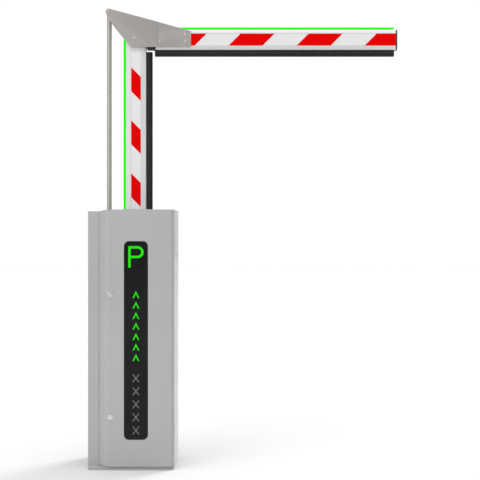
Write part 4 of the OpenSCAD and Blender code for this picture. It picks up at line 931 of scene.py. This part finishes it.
def light_indicators():
    """Small status lamps and buttons on the control box."""
    low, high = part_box("control_box")
    seat_y, lamp_z = low.y + 2 * MM, high.z - 30 * MM
    lamps, lamp_x, lamp_step = 4, 34 * MM, 11 * MM
    lamp = [(0, 0), (0, 2.5 * MM), (0.8 * MM, 2.5 * MM), (1.7 * MM, 1.6 * MM), (2 * MM, 0)]
    buttons, button_x, button_step, button_drop = 3, 40 * MM, 18 * MM, 34 * MM
    button = [(0, 0), (0, 5 * MM), (1.4 * MM, 5 * MM), (1.9 * MM, 4.4 * MM), (1.7 * MM, 0)]
    work = bmesh.new()
    for i in range(lamps):
        seat = Vector((low.x + lamp_x + i * lamp_step, seat_y, lamp_z))
        add_turned(work, lamp, seat, -Y, 20)
    make_piece(work, "status_lamps", "lit_green", "cabinet")
    work = bmesh.new()
    for i in range(buttons):
        seat = Vector((low.x + button_x + i * button_step, seat_y, lamp_z - button_drop))
        add_turned(work, button, seat, -Y, 28)
    make_piece(work, "control_buttons", "black_plastic", "cabinet")


def repaint_details():
    """Second finishes inside nodes that hold more than one kind of piece."""
    NODES["lit_symbols"].data.materials[0] = SYMBOL_GREEN
    levers_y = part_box("circuit_breakers")[0].y + 9.9 * MM
    chips_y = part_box("sign_board")[0].y + 6.2 * MM
    bracket_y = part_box("spring_quadrant")[1].y + 1 * MM
    repaint("circuit_breakers", "black_plastic", lambda c: c.y < levers_y)
    repaint("sign_board", "black_plastic", lambda c: c.y > chips_y)
    repaint("stop_bumpers", "zinc_plate", lambda c: c.y > bracket_y)


# ---- scene ----

FLOOR_HALF = 30.0  # metres
FLOOR_GREY = 0.52
CEILING_FROM, CEILING_TO = 0.10, 0.50  # light from the horizon and from straight above
BACKDROP = 1.02  # what the camera sees behind everything
# direction, strength, and spread in degrees
KEY = ((0.55, 0.72, -0.42), 1.3, 50)
OVERHEAD = ((0.0, 0.1, -1.0), 3.4, 70)
RIM = ((-0.62, -0.74, -0.26), 4.6, 30)
VIEW_FROM = (0.428, -4.69, 0.9005)
LENS, SENSOR = 87.07, 36.0  # millimetres
FAR = 100  # metres


def light(name, towards, strength, spread):
    """A broad, even lamp that shines along a direction."""
    lamp = bpy.data.lights.new(name, "SUN")
    lamp.energy = strength
    lamp.angle = math.radians(spread)
    holder = bpy.data.objects.new(name, lamp)
    holder.rotation_mode = "QUATERNION"
    holder.rotation_quaternion = Vector(towards).to_track_quat("-Z", "Y")
    bpy.context.scene.collection.objects.link(holder)
    return holder


def studio():
    """Pale floor, white surroundings and three soft lamps."""
    work = bmesh.new()
    bmesh.ops.create_grid(work, x_segments=8, y_segments=8, size=FLOOR_HALF)
    mesh = bpy.data.meshes.new("floor")
    work.to_mesh(mesh)
    work.free()
    floor = bpy.data.objects.new("floor", mesh)
    pale = bpy.data.materials.new("pale_floor")
    pale.use_nodes = True
    shader = pale.node_tree.nodes["Principled BSDF"]
    shader.inputs["Base Color"].default_value = (FLOOR_GREY, FLOOR_GREY, FLOOR_GREY, 1)
    shader.inputs["Roughness"].default_value = 1.0
    shader.inputs["Specular IOR Level"].default_value = 0.0
    mesh.materials.append(pale)
    bpy.context.scene.collection.objects.link(floor)

    world = bpy.data.worlds.new("studio")
    world.use_nodes = True
    tree = world.node_tree
    background = tree.nodes["Background"]
    background.inputs["Color"].default_value = (1, 1, 1, 1)
    up = tree.nodes.new("ShaderNodeSeparateXYZ")
    tree.links.new(tree.nodes.new("ShaderNodeTexCoord").outputs["Generated"], up.inputs["Vector"])
    ceiling = tree.nodes.new("ShaderNodeMapRange")
    ceiling.inputs["To Min"].default_value = CEILING_FROM
    ceiling.inputs["To Max"].default_value = CEILING_TO
    tree.links.new(up.outputs["Z"], ceiling.inputs["Value"])
    path = tree.nodes.new("ShaderNodeLightPath")
    level = tree.nodes.new("ShaderNodeMapRange")
    level.inputs["To Max"].default_value = BACKDROP
    tree.links.new(ceiling.outputs["Result"], level.inputs["To Min"])
    tree.links.new(path.outputs["Is Camera Ray"], level.inputs["Value"])
    tree.links.new(level.outputs["Result"], background.inputs["Strength"])
    bpy.context.scene.world = world

    light("key", *KEY)
    light("overhead", *OVERHEAD)
    light("rim", *RIM).visible_glossy = False
    bpy.context.scene.view_settings.view_transform = "Standard"


def camera():
    """Level view of the door's side."""
    lens = bpy.data.cameras.new("camera")
    lens.sensor_width = SENSOR
    lens.lens = LENS
    lens.clip_end = FAR
    holder = bpy.data.objects.new("camera", lens)
    holder.location = VIEW_FROM
    holder.rotation_euler = (math.radians(90), 0, 0)
    bpy.context.scene.collection.objects.link(holder)
    bpy.context.scene.camera = holder


camera()
studio()
for name in NODES:
    dress_node(name)
repaint_details()
elbow_fasteners()
pin_fasteners()
hood_fasteners()
clamp_fasteners()
balance_set()
quadrant_band()
white_bands()
rubber_bumpers()
light_covers()
sign_rim()
terminal_screws()
gearbox_details()
light_indicators()
